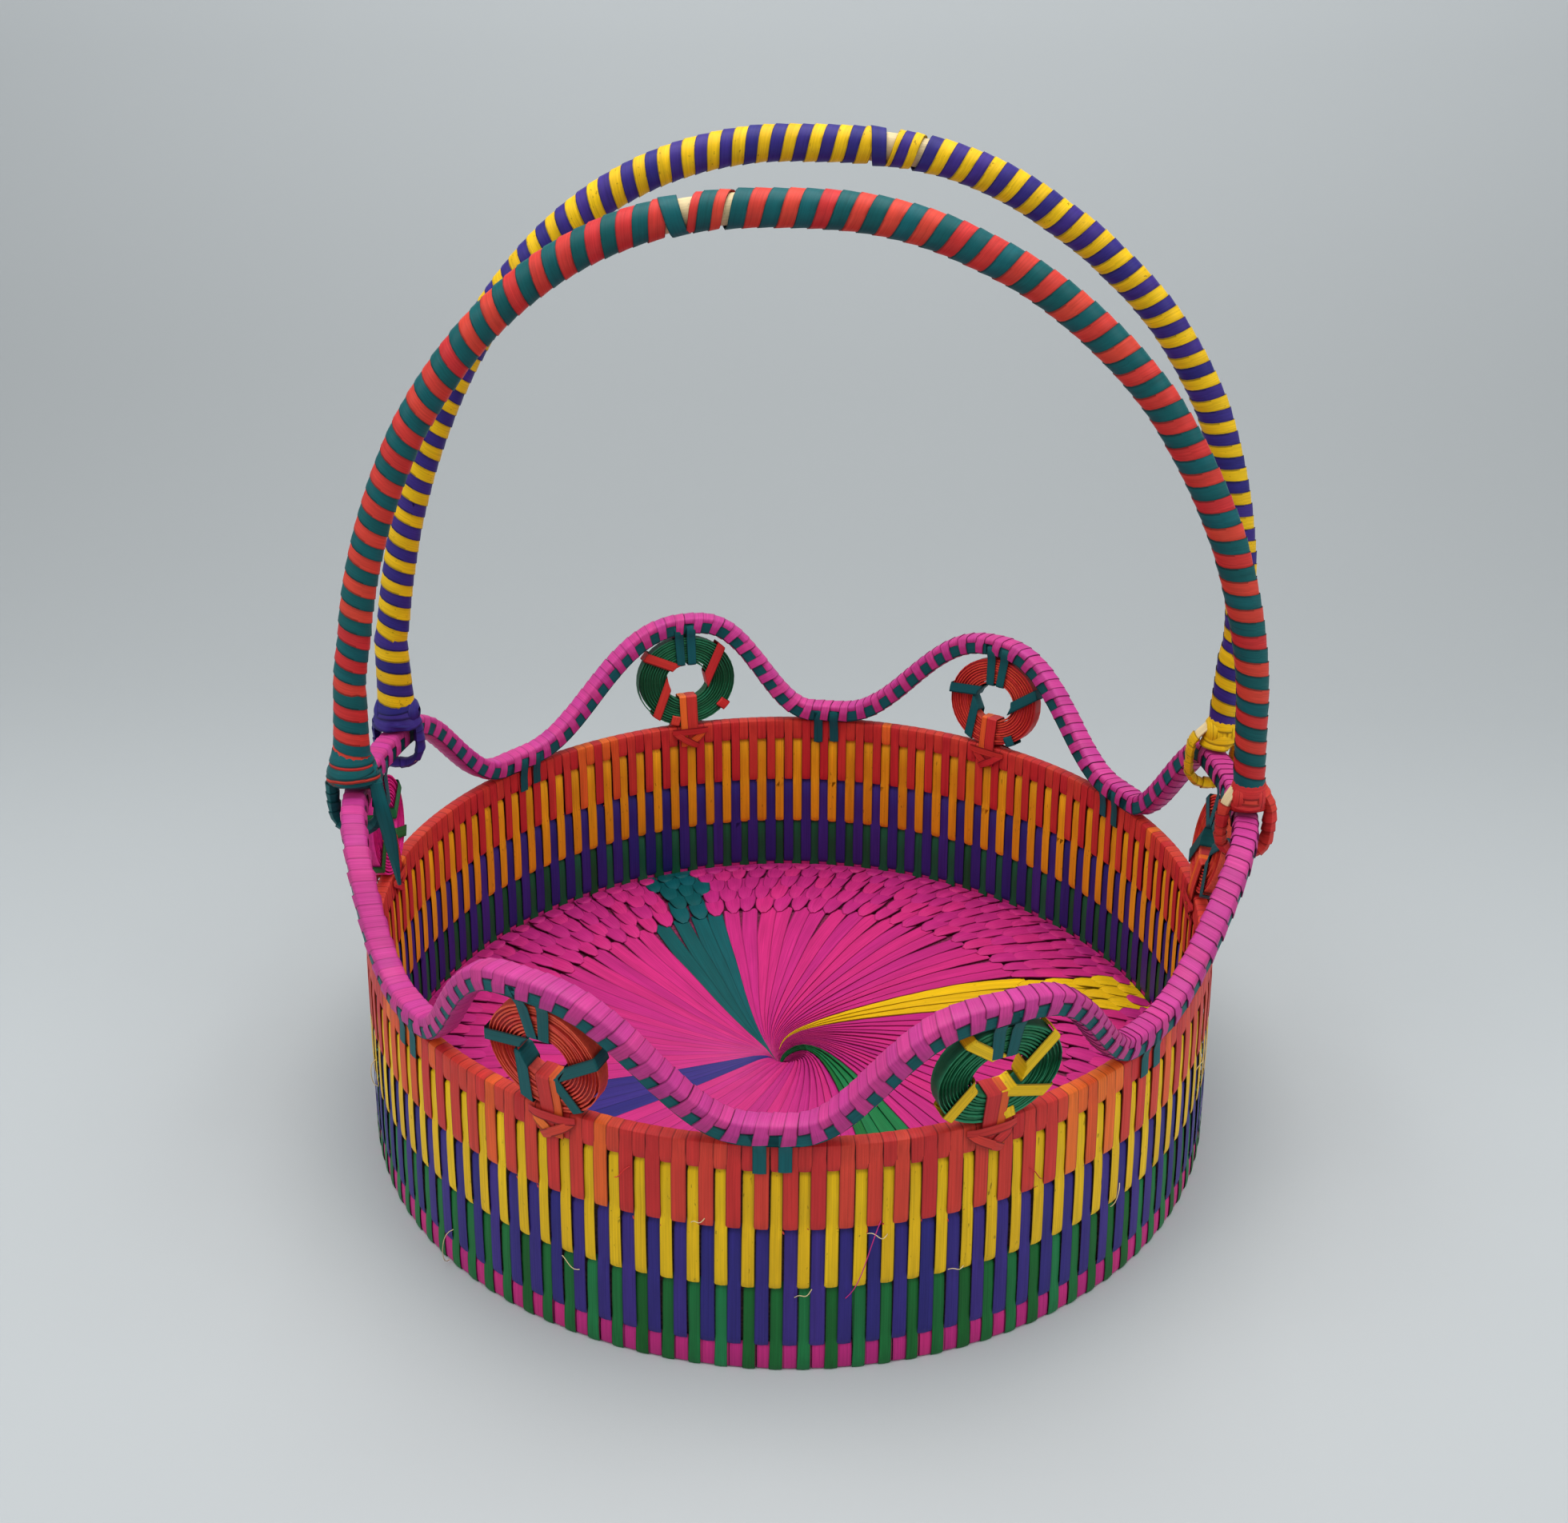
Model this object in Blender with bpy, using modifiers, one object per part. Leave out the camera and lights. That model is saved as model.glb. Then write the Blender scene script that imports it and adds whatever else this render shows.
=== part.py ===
"""Palm leaf basket with a wavy border, six medallions and two rocking handles.

Metres, +Z up. The origin is the middle of the floor's underside, where the basket stands.
-Y is the front, the side of the red and teal handle.
"""
import math

import bmesh
import bpy
from mathutils import Matrix, Vector

# Clearances between pieces that touch on the real basket
GAP = 0.0003
STRAP_GAP = 0.0005
COIL_SEAT = 0.0005
MERGE_DISTANCE = 0.00001

# Wall: five hoops stacked on each other, a little wider at the foot
RIM_RADIUS = 0.150
BASE_RADIUS = 0.1535
WALL_THICKNESS = 0.005
HOOP_EDGE = 0.0012
BASE_HOOP_HEIGHT = 0.0090
GREEN_HOOP_HEIGHT = 0.0215
PURPLE_HOOP_HEIGHT = 0.0208
YELLOW_HOOP_HEIGHT = 0.0207
RIM_HOOP_HEIGHT = 0.0090
ROUND_STEPS = 48

# Floor: a disc with a pinched hollow in the middle
FLOOR_THICKNESS = 0.0080
PINCH_RADIUS = 0.0090
PINCH_DEPTH = 0.0045
PINCH_BOTTOM_RADIUS = 0.0018

# Wavy border: valleys tied down to the rim, and crests that lean out over it
BORDER_ROD = 0.0080
BORDER_STEP_ANGLE = 3.2
CREST_HEIGHT = 0.0380
CREST_FLARE = 0.0060
# Each valley: name of its tie, angle in degrees from +X
VALLEY_ANGLES = (
    ("back_right", 28.5), ("back", 86.5), ("back_left", 146.5),
    ("front_left", 219.5), ("front", 271.0), ("front_right", 321.0),
)
# Each crest: angle in degrees, share of the crest height, share of the flare outwards.
# Two knots of one height make the level stretch that the handles' eyes sit on.
CREST_SHARES = (
    (58.0, 1.04, 1.00), (111.3, 1.10, 1.00), (166.5, 1.00, 0.40), (191.0, 1.00, 0.45),
    (243.5, 1.02, 1.05), (296.5, 0.94, 1.05), (349.0, 1.00, 1.40), (373.0, 1.00, 1.15),
)

# Medallions: flat strip wound on edge
COIL_STEPS = 20
COIL_STRIP = 0.0014
COIL_LEAST_GAP = 0.00045
COIL_DEPTH = 0.0050
COIL_HOLE_RADIUS = 0.0075
# Each medallion: name, angle in degrees, width as a share of its height, colour
MEDALLION_SHARES = (
    ("back_right", 57.5, 1.08, "red"),
    ("back_left", 110.9, 1.00, "green"),
    ("left", 178.8, 1.00, "pink"),
    ("front_left", 243.5, 1.07, "red"),
    ("front_right", 296.3, 1.05, "green"),
    ("right", 1.2, 1.00, "red"),
)

# Straps that tie the medallions and the border
STRAP_THICKNESS = 0.0008
MEDALLION_STRAP_WIDTH = 0.0085
BORDER_STRAP_WIDTH = 0.0040
BORDER_STRAP_SPLIT = 0.0033
STRAP_BEND_STEPS = 6

# Handles
CANE_DIAMETER = 0.0080
WRAP_THICKNESS = 0.0010
ROCKER_RADIUS = 0.0060
ROCKER_END_RADIUS = 0.0035
EYE_STRAND = 0.0044
EYE_HALF_GAP = 0.0060
EYE_DROP = 0.0206
EYE_BEND_STEPS = 8
COLLAR_SIDES = 12
TUBE_SIDES = 8
SHANK_LENGTH = 0.0137
COLLAR_START = 0.0065
COLLAR_LENGTH = 0.0215
COLLAR_FOOT_RADIUS = 0.0080
COLLAR_TOP_RADIUS = 0.0060
LEG_LENGTH = 0.0020
ARCH_STEPS = 32

FRONT_PIVOT_Y = -0.0232
REAR_PIVOT_Y = 0.0288
FRONT_ARCH_RISE = 0.1579
REAR_ARCH_RISE = 0.1700
FRONT_SWAY = -0.0035
REAR_SWAY = 0.0084
# How square the arches' shoulders are: powers of their rounded outline
FRONT_ARCH_POWERS = (2.43, 1.41)
REAR_ARCH_POWERS = (2.49, 1.68)

# Sizes that follow from the others
WALL_HEIGHT = (BASE_HOOP_HEIGHT + GREEN_HOOP_HEIGHT + PURPLE_HOOP_HEIGHT
               + YELLOW_HOOP_HEIGHT + RIM_HOOP_HEIGHT)
RIM_MIDDLE = RIM_RADIUS - WALL_THICKNESS / 2
BORDER_SEAT = WALL_HEIGHT + GAP + BORDER_ROD / 2
STRAND_OFFSET = EYE_HALF_GAP + EYE_STRAND / 2
PIVOT_HEIGHT = BORDER_SEAT + CREST_HEIGHT + BORDER_ROD / 2 + GAP + ROCKER_RADIUS
CANE_RADIUS = CANE_DIAMETER / 2
WRAP_RADIUS = CANE_RADIUS + GAP + WRAP_THICKNESS / math.cos(math.pi / TUBE_SIDES)
BORDER_TIE_WIDTH = 2 * BORDER_STRAP_WIDTH + BORDER_STRAP_SPLIT
TIE_FOOT = WALL_HEIGHT - RIM_HOOP_HEIGHT + HOOP_EDGE

# Colours seen in the photograph
COLOURS = {
    "pink": (0.72, 0.04, 0.30),
    "red": (0.66, 0.06, 0.04),
    "orange": (0.80, 0.12, 0.03),
    "yellow": (0.80, 0.52, 0.03),
    "purple": (0.06, 0.03, 0.25),
    "green": (0.01, 0.16, 0.05),
    "teal": (0.01, 0.15, 0.16),
    "cream": (0.75, 0.62, 0.42),
}
LEAF_ROUGHNESS = 0.55
SHARP_ANGLE = 40


def clear_scene():
    for obj in list(bpy.data.objects):
        bpy.data.objects.remove(obj, do_unlink=True)


def make_collection(name):
    collection = bpy.data.collections.new(name)
    bpy.context.scene.collection.children.link(collection)
    return collection


def make_material(name, colour_name):
    material = bpy.data.materials.new(name)
    material.use_nodes = True
    shader = material.node_tree.nodes["Principled BSDF"]
    shader.inputs["Base Color"].default_value = (*COLOURS[colour_name], 1.0)
    shader.inputs["Roughness"].default_value = LEAF_ROUGHNESS
    shader.inputs["Metallic"].default_value = 0.0
    return material


def add_object(name, data, colour_name, collection):
    obj = bpy.data.objects.new(name, data)
    data.materials.append(make_material(name, colour_name))
    collection.objects.link(obj)
    return obj


def line_mesh(name, points, closed):
    """A mesh of edges only, along a list of points."""
    bm = bmesh.new()
    verts = [bm.verts.new(point) for point in points]
    for first, second in zip(verts, verts[1:]):
        bm.edges.new((first, second))
    if closed:
        bm.edges.new((verts[-1], verts[0]))
    mesh = bpy.data.meshes.new(name)
    bm.to_mesh(mesh)
    bm.free()
    return mesh


def turned(name, profile, closed, steps, colour_name, collection):
    """A profile of (radius, height) points turned about the local Z axis."""
    mesh = line_mesh(name, [(radius, 0, height) for radius, height in profile], closed)
    obj = add_object(name, mesh, colour_name, collection)
    screw = obj.modifiers.new("turn", "SCREW")
    screw.steps = steps
    screw.render_steps = steps
    screw.use_merge_vertices = True
    screw.merge_threshold = MERGE_DISTANCE
    return obj


def band(name, path, width, thickness, colour_name, collection, closed=False):
    """A flat strip that follows a path in the local YZ plane, its width along X."""
    bm = bmesh.new()
    verts = [bm.verts.new((-width / 2, y, z)) for y, z in path]
    for first, second in zip(verts, verts[1:]):
        bm.edges.new((first, second))
    if closed:
        bm.edges.new((verts[-1], verts[0]))
    swept = bmesh.ops.extrude_edge_only(bm, edges=bm.edges[:])
    moved = [item for item in swept["geom"] if isinstance(item, bmesh.types.BMVert)]
    bmesh.ops.translate(bm, verts=moved, vec=(width, 0, 0))
    bmesh.ops.recalc_face_normals(bm, faces=bm.faces[:])
    mesh = bpy.data.meshes.new(name)
    bm.to_mesh(mesh)
    bm.free()
    obj = add_object(name, mesh, colour_name, collection)
    wall = obj.modifiers.new("thickness", "SOLIDIFY")
    wall.thickness = thickness
    wall.offset = 0
    wall.use_even_offset = True
    return obj


def tube(name, points, radius, colour_name, collection, closed=False):
    """A round rod along a path."""
    curve = bpy.data.curves.new(name, "CURVE")
    curve.dimensions = "3D"
    curve.twist_mode = "Z_UP" if closed else "MINIMUM"
    spline = curve.splines.new("POLY")
    spline.points.add(len(points) - 1)
    for spot, point in zip(spline.points, points):
        spot.co = (*point, 1)
    spline.use_cyclic_u = closed
    curve.bevel_depth = radius
    curve.bevel_resolution = (TUBE_SIDES - 4) // 2
    curve.use_fill_caps = not closed
    return add_object(name, curve, colour_name, collection)


def settle(obj):
    """Turn a modelled object into a plain mesh of the same name, welded and shaded by angle."""
    depsgraph = bpy.context.evaluated_depsgraph_get()
    mesh = bpy.data.meshes.new_from_object(obj.evaluated_get(depsgraph))
    bm = bmesh.new()
    bm.from_mesh(mesh)
    bmesh.ops.remove_doubles(bm, verts=bm.verts[:], dist=MERGE_DISTANCE)
    bmesh.ops.recalc_face_normals(bm, faces=bm.faces[:])
    bm.to_mesh(mesh)
    bm.free()
    mesh.shade_smooth()
    mesh.set_sharp_from_angle(angle=math.radians(SHARP_ANGLE))
    name = obj.name
    collection = obj.users_collection[0]
    place = obj.matrix_world.copy()
    bpy.data.objects.remove(obj, do_unlink=True)
    plain = bpy.data.objects.new(name, mesh)
    plain.matrix_world = place
    collection.objects.link(plain)
    return plain


def box(name, size, middle, collection):
    bm = bmesh.new()
    bmesh.ops.create_cube(bm, size=1)
    bmesh.ops.scale(bm, verts=bm.verts[:], vec=size)
    bmesh.ops.translate(bm, verts=bm.verts[:], vec=middle)
    mesh = bpy.data.meshes.new(name)
    bm.to_mesh(mesh)
    bm.free()
    obj = bpy.data.objects.new(name, mesh)
    collection.objects.link(obj)
    return obj


def boolean(obj, tool, operation):
    """Cut or join with a tool that stays in the scene as a hidden guide."""
    tool.hide_render = True
    tool.display_type = "WIRE"
    change = obj.modifiers.new(tool.name, "BOOLEAN")
    change.operation = operation
    change.solver = "EXACT"
    change.object = tool


def ease(share):
    """A rise from 0 to 1 that stays level a little longer at its ends than a cosine wave."""
    wave = (1 - math.cos(math.pi * share)) / 2
    level = share ** 3 * (10 - 15 * share + 6 * share ** 2)
    return (wave + level) / 2


def border_knots():
    """The wave's knots in order, from the first valley round to it again.

    Each knot is an angle and the shares of height and flare there. A valley lies level on the
    rim for as long as its tie is wide.
    """
    level = math.degrees(BORDER_TIE_WIDTH / 2 / RIM_MIDDLE)
    knots = [(angle + side, 0, 0) for name, angle in VALLEY_ANGLES for side in (-level, level)]
    knots = sorted(knots + list(CREST_SHARES))
    first_angle, first_rise, first_flare = knots[0]
    return knots + [(first_angle + 360, first_rise, first_flare)]


def border_spot(angle, rise, flare):
    """The middle of the rod for an angle in degrees and shares of height and flare."""
    radius = RIM_MIDDLE + CREST_FLARE * flare
    direction = math.radians(angle)
    return Vector((radius * math.cos(direction), radius * math.sin(direction),
                   BORDER_SEAT + CREST_HEIGHT * rise))


def between(start, end, share):
    """The middle of the rod a share of the way from one knot to the next."""
    eased = ease(share)
    return border_spot(start[0] + (end[0] - start[0]) * share,
                       start[1] + (end[1] - start[1]) * eased,
                       start[2] + (end[2] - start[2]) * eased)


def border_point(angle):
    """The middle of the border's rod at an angle in degrees."""
    knots = border_knots()
    angle = (angle - knots[0][0]) % 360 + knots[0][0]
    for start, end in zip(knots, knots[1:]):
        if start[0] <= angle <= end[0]:
            return between(start, end, (angle - start[0]) / (end[0] - start[0]))


def outer_radius(height):
    """The wall's outer radius at a height."""
    return BASE_RADIUS + (RIM_RADIUS - BASE_RADIUS) * height / WALL_HEIGHT


def inner_radius(height):
    return outer_radius(height) - WALL_THICKNESS


def hoop(name, foot, height, colour_name, collection):
    """One bundle of the wall, its outer edges rounded off, seated on the one below."""
    low = foot + (GAP if foot > 0 else 0)
    high = foot + height
    profile = [
        (outer_radius(high) - HOOP_EDGE, high),
        (outer_radius(high - HOOP_EDGE), high - HOOP_EDGE),
        (outer_radius(low + HOOP_EDGE), low + HOOP_EDGE),
        (outer_radius(low) - HOOP_EDGE, low),
        (inner_radius(low), low),
        (inner_radius(high), high),
    ]
    turned(name, profile, True, ROUND_STEPS, colour_name, collection)


def build_wall(collection):
    hoops = (
        ("base_hoop", BASE_HOOP_HEIGHT, "pink"),
        ("green_hoop", GREEN_HOOP_HEIGHT, "green"),
        ("purple_hoop", PURPLE_HOOP_HEIGHT, "purple"),
        ("yellow_hoop", YELLOW_HOOP_HEIGHT, "yellow"),
        ("rim_hoop", RIM_HOOP_HEIGHT, "red"),
    )
    foot = 0
    for name, height, colour_name in hoops:
        hoop(name, foot, height, colour_name, collection)
        foot += height


def build_floor(collection):
    """The floor fits inside the base hoop where that is narrowest, and stands on the ground."""
    edge = min(inner_radius(0), inner_radius(FLOOR_THICKNESS)) - GAP
    profile = [
        (0, FLOOR_THICKNESS - PINCH_DEPTH),
        (PINCH_BOTTOM_RADIUS, FLOOR_THICKNESS - PINCH_DEPTH),
        (PINCH_RADIUS, FLOOR_THICKNESS),
        (edge - HOOP_EDGE, FLOOR_THICKNESS),
        (edge, FLOOR_THICKNESS - HOOP_EDGE),
        (edge, 0),
        (0, 0),
    ]
    turned("floor_disc", profile, False, ROUND_STEPS, "pink", collection)


def build_border(collection):
    points = []
    knots = border_knots()
    for start, end in zip(knots, knots[1:]):
        steps = math.ceil((end[0] - start[0]) / BORDER_STEP_ANGLE)
        points += [between(start, end, step / steps) for step in range(steps)]
    tube("wavy_border", points, BORDER_ROD / 2, "pink", collection, closed=True)


def radial_frame(angle):
    """Local X along the rim, Y outwards and Z up, at an angle in degrees."""
    direction = math.radians(angle)
    out = Vector((math.cos(direction), math.sin(direction), 0))
    along = Vector((math.sin(direction), -math.cos(direction), 0))
    place = Matrix.Identity(4)
    place.col[0].xyz = along
    place.col[1].xyz = out
    place.col[2].xyz = (0, 0, 1)
    return place


def arc(centre, radius, start, end, steps):
    """Points of an arc in the (y, z) plane, angles in degrees from +Y towards +Z."""
    points = []
    for step in range(steps + 1):
        direction = math.radians(start + (end - start) * step / steps)
        points.append((centre[0] + radius * math.cos(direction),
                       centre[1] + radius * math.sin(direction)))
    return points


def wall_leg(reach):
    """A strap's path down both faces of the rim hoop, as inner and outer (y, z) points."""
    inner = [(inner_radius(TIE_FOOT) - reach, TIE_FOOT),
             (inner_radius(WALL_HEIGHT) - reach, WALL_HEIGHT - HOOP_EDGE)]
    outer = [(outer_radius(WALL_HEIGHT) + reach, WALL_HEIGHT - HOOP_EDGE),
             (outer_radius(TIE_FOOT) + reach, TIE_FOOT)]
    return inner, outer


def over_rod(middle, reach):
    """A strap's path over the border's rod, from inside to outside, clear of it all along."""
    start, end = 200, -20
    half_step = math.radians((start - end) / STRAP_BEND_STEPS / 2)
    radius = (BORDER_ROD / 2 + reach) / math.cos(half_step)
    return arc(middle, radius, start, end, STRAP_BEND_STEPS)


def build_border_ties(collection, cutters):
    """A pair of straps over the rod at each valley, down both faces of the rim hoop.

    They are one piece where they lie on the rod, and split below its middle.
    """
    reach = STRAP_GAP + STRAP_THICKNESS / 2
    inner, outer = wall_leg(reach)
    path = inner + over_rod((RIM_MIDDLE, BORDER_SEAT), reach) + outer
    low = TIE_FOOT - HOOP_EDGE
    split_size = (BORDER_STRAP_SPLIT, 2 * BORDER_ROD + WALL_THICKNESS, BORDER_SEAT - low)
    split_middle = (0, RIM_MIDDLE, (BORDER_SEAT + low) / 2)
    for name, angle in VALLEY_ANGLES:
        tie = band("border_tie_" + name, path, BORDER_TIE_WIDTH, STRAP_THICKNESS, "teal",
                   collection)
        split = box("split_" + name, split_size, split_middle, cutters)
        tie.matrix_world = radial_frame(angle)
        split.matrix_world = radial_frame(angle)
        boolean(tie, split, "DIFFERENCE")


class Coil:
    """Where a medallion hangs: in the plane of the crest's lean, from the rim up to the rod."""

    def __init__(self, angle, width_share):
        crest = border_point(angle)
        out = math.hypot(crest.x, crest.y) - RIM_MIDDLE
        up = crest.z - WALL_HEIGHT
        self.angle = angle
        self.lean = math.atan2(out, up)
        self.foot = COIL_SEAT + COIL_DEPTH / 2 * math.sin(abs(self.lean))
        self.half_height = (math.hypot(out, up) - BORDER_ROD / 2 - COIL_SEAT - self.foot) / 2
        self.half_width = self.half_height * width_share
        self.squash = 1 / width_share

    def point(self, y, z):
        """A point of the coil's own plane, as (y, z) in the radial frame."""
        raised = z + self.foot + self.half_height
        return (RIM_MIDDLE + y * math.cos(self.lean) + raised * math.sin(self.lean),
                WALL_HEIGHT - y * math.sin(self.lean) + raised * math.cos(self.lean))

    def place(self):
        return (radial_frame(self.angle) @ Matrix.Translation((0, *self.point(0, 0)))
                @ Matrix.Rotation(-self.lean, 4, "X"))

    def hole_reach(self, reach):
        """How far from the middle a strap lies in the hole, clear of the hole's round edge."""
        half = MEDALLION_STRAP_WIDTH / 2
        return self.squash * math.sqrt(COIL_HOLE_RADIUS ** 2 - half ** 2) - reach


def spiral_points(coil):
    """The middle line of the wound strip, as (y, z), its ends at the bottom."""
    inner = COIL_HOLE_RADIUS + COIL_STRIP / 2
    outer = coil.half_width - COIL_STRIP / 2
    turns = int((outer - inner) * coil.squash / (COIL_STRIP + COIL_LEAST_GAP))
    points = []
    for step in range(turns * COIL_STEPS + 1):
        radius = inner + (outer - inner) * step / (turns * COIL_STEPS)
        turn = 2 * math.pi * step / COIL_STEPS - math.pi / 2
        points.append((radius * math.cos(turn), radius * coil.squash * math.sin(turn)))
    return points


def least_gap(points):
    """The least clear distance between turns of the strip."""
    pairs = ((first, second) for first in range(len(points))
             for second in range(first + COIL_STEPS // 2, len(points)))
    return min(math.dist(points[first], points[second]) for first, second in pairs) - COIL_STRIP


def build_medallion(name, coil, colour_name, collection):
    points = spiral_points(coil)
    turns = len(points) // COIL_STEPS
    print(name, "medallion:", turns, "turns, least gap in mm", round(least_gap(points) * 1000, 3))
    obj = band("medallion_" + name, points, COIL_DEPTH, COIL_STRIP, colour_name, collection)
    obj.matrix_world = coil.place() @ Matrix.Rotation(-math.pi / 2, 4, "Z")


def build_upper_tie(name, coil, collection):
    """A closed strap through the medallion's hole and over the crest."""
    reach = STRAP_GAP + STRAP_THICKNESS / 2
    side = COIL_DEPTH / 2 + reach
    top = coil.half_height
    inside = coil.hole_reach(reach)
    path = over_rod((0, top + COIL_SEAT + BORDER_ROD / 2), reach)
    path += [(side, top - COIL_STRIP), (side, inside), (-side, inside), (-side, top - COIL_STRIP)]
    tie = band("upper_tie_" + name, path, MEDALLION_STRAP_WIDTH, STRAP_THICKNESS, "teal",
               collection, closed=True)
    tie.matrix_world = coil.place()


def build_lower_tie(name, coil, collection):
    """A strap through the medallion's hole, down both its faces and both faces of the rim."""
    reach = STRAP_GAP + STRAP_THICKNESS / 2
    side = COIL_DEPTH / 2 + reach
    low = COIL_STRIP - coil.half_height
    inside = -coil.hole_reach(reach)
    inner, outer = wall_leg(reach)
    round_coil = [(-side, low), (-side, inside), (side, inside), (side, low)]
    path = inner + [coil.point(y, z) for y, z in round_coil] + outer
    tie = band("lower_tie_" + name, path, MEDALLION_STRAP_WIDTH, STRAP_THICKNESS, "orange",
               collection)
    tie.matrix_world = radial_frame(coil.angle)


def crest_reach(pivot_y, side):
    """How far out along X the border's rod is, where a handle's eye goes round it."""
    angle = 0 if side > 0 else 180
    for _ in range(8):
        point = border_point(angle)
        angle += math.degrees((pivot_y - point.y) / point.x)
    return border_point(angle).x


def even_points(points, steps):
    """Points at even distances along a path."""
    lengths = [0]
    for first, second in zip(points, points[1:]):
        lengths.append(lengths[-1] + (second - first).length)
    even = []
    spot = 0
    for step in range(steps + 1):
        wanted = lengths[-1] * step / steps
        while spot < len(points) - 2 and lengths[spot + 1] < wanted:
            spot += 1
        share = (wanted - lengths[spot]) / (lengths[spot + 1] - lengths[spot])
        even.append(points[spot].lerp(points[spot + 1], share))
    return even


def arch_points(pivot_y, rise, sway, powers):
    """The arch above the collars and two straight legs, from the left leg to the right one."""
    left = crest_reach(pivot_y, -1)
    right = crest_reach(pivot_y, 1)
    half = (right - left) / 2
    foot = PIVOT_HEIGHT + COLLAR_START + COLLAR_LENGTH + LEG_LENGTH
    fine_steps = ARCH_STEPS * ARCH_STEPS
    points = []
    for step in range(fine_steps + 1):
        turn = math.pi * (1 - step / fine_steps)
        across = math.copysign(abs(math.cos(turn)) ** (2 / powers[0]), math.cos(turn))
        up = max(math.sin(turn), 0) ** (2 / powers[1])
        points.append(Vector((left + half + half * across + sway * math.sqrt(up), pivot_y,
                              foot + rise * up)))
    return even_points(points, ARCH_STEPS)


def rod_path(arch, low):
    """The arch with its two legs drawn down to a height."""
    left, right = arch[0], arch[-1]
    return [Vector((left.x, left.y, low))] + arch + [Vector((right.x, right.y, low))]


def build_cane(name, arch, collection):
    """The bent cane, from collar to collar, on the shanks of both eyes."""
    path = rod_path(arch, PIVOT_HEIGHT + SHANK_LENGTH + GAP)
    tube(name + "_cane", path, CANE_RADIUS, "cream", collection)


def build_wrap(name, arch, colour_name, collection):
    """The strip wound round the cane, as a sleeve that ends on both collars."""
    path = rod_path(arch, PIVOT_HEIGHT + COLLAR_START + COLLAR_LENGTH + GAP)
    sleeve = tube(name + "_wrap", path, WRAP_RADIUS, colour_name, collection)
    sleeve.data.use_fill_caps = False
    wall = sleeve.modifiers.new("thickness", "SOLIDIFY")
    wall.thickness = WRAP_THICKNESS
    wall.offset = -1
    wall.use_even_offset = True


def build_collar(name, pivot, colour_name, collection):
    """The thick binding over the lashed joint of cane and eye."""
    bore = (CANE_RADIUS + GAP) / math.cos(math.pi / COLLAR_SIDES)
    top = COLLAR_START + COLLAR_LENGTH
    profile = [
        (COLLAR_TOP_RADIUS, top),
        (COLLAR_FOOT_RADIUS, COLLAR_START + HOOP_EDGE),
        (COLLAR_FOOT_RADIUS - HOOP_EDGE, COLLAR_START),
        (bore, COLLAR_START),
        (bore, top),
    ]
    collar = turned(name, profile, True, COLLAR_SIDES, colour_name, collection)
    collar.location = pivot


def eye_strand(name, pivot, colour_name, collection):
    """The loop of the eye: down one side of the rod, under it and up the other."""
    bend = arc((0, STRAND_OFFSET - EYE_DROP), STRAND_OFFSET, 180, 360, EYE_BEND_STEPS)
    path = [(-STRAND_OFFSET, 0, 0)] + [(y, 0, z) for y, z in bend] + [(STRAND_OFFSET, 0, 0)]
    strand = tube(name + "_strand", path, EYE_STRAND / 2, colour_name, collection)
    strand.location = pivot
    bpy.context.view_layer.update()
    return settle(strand)


def eye_shank(name, pivot, collection):
    """The stub of the eye that the collar lashes to the cane."""
    bm = bmesh.new()
    bmesh.ops.create_cone(bm, cap_ends=True, segments=TUBE_SIDES, radius1=CANE_RADIUS,
                          radius2=CANE_RADIUS, depth=SHANK_LENGTH)
    bmesh.ops.translate(bm, verts=bm.verts[:], vec=(0, 0, SHANK_LENGTH / 2))
    mesh = bpy.data.meshes.new(name + "_shank")
    bm.to_mesh(mesh)
    bm.free()
    shank = bpy.data.objects.new(name + "_shank", mesh)
    shank.location = pivot
    collection.objects.link(shank)
    return shank


def build_eye(name, pivot, colour_name, collection, cutters):
    """A knob that rocks on the crest, with a loop that hangs round the rod."""
    half = STRAND_OFFSET + EYE_STRAND / 2 + HOOP_EDGE / 2
    shoulder = half - EYE_STRAND
    profile = [(0, half), (ROCKER_END_RADIUS, half), (ROCKER_RADIUS, shoulder),
               (ROCKER_RADIUS, -shoulder), (ROCKER_END_RADIUS, -half), (0, -half)]
    knob = turned(name, profile, False, COLLAR_SIDES, colour_name, collection)
    knob.matrix_world = Matrix.Translation(pivot) @ Matrix.Rotation(math.pi / 2, 4, "Y")
    boolean(knob, eye_strand(name, pivot, colour_name, cutters), "UNION")
    boolean(knob, eye_shank(name, pivot, cutters), "UNION")


def build_handle(name, arch, colours, collection, cutters):
    wrap_colour, left_colour, right_colour = colours
    build_cane(name, arch, collection)
    build_wrap(name, arch, wrap_colour, collection)
    ends = (("left", arch[0], left_colour), ("right", arch[-1], right_colour))
    for side, leg_top, colour_name in ends:
        pivot = Vector((leg_top.x, leg_top.y, PIVOT_HEIGHT))
        build_collar(f"{name}_{side}_collar", pivot, colour_name, collection)
        build_eye(f"{name}_{side}_eye", pivot, colour_name, collection, cutters)
        print(name, side, "pivot in mm:", [round(value * 1000, 2) for value in pivot])


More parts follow.
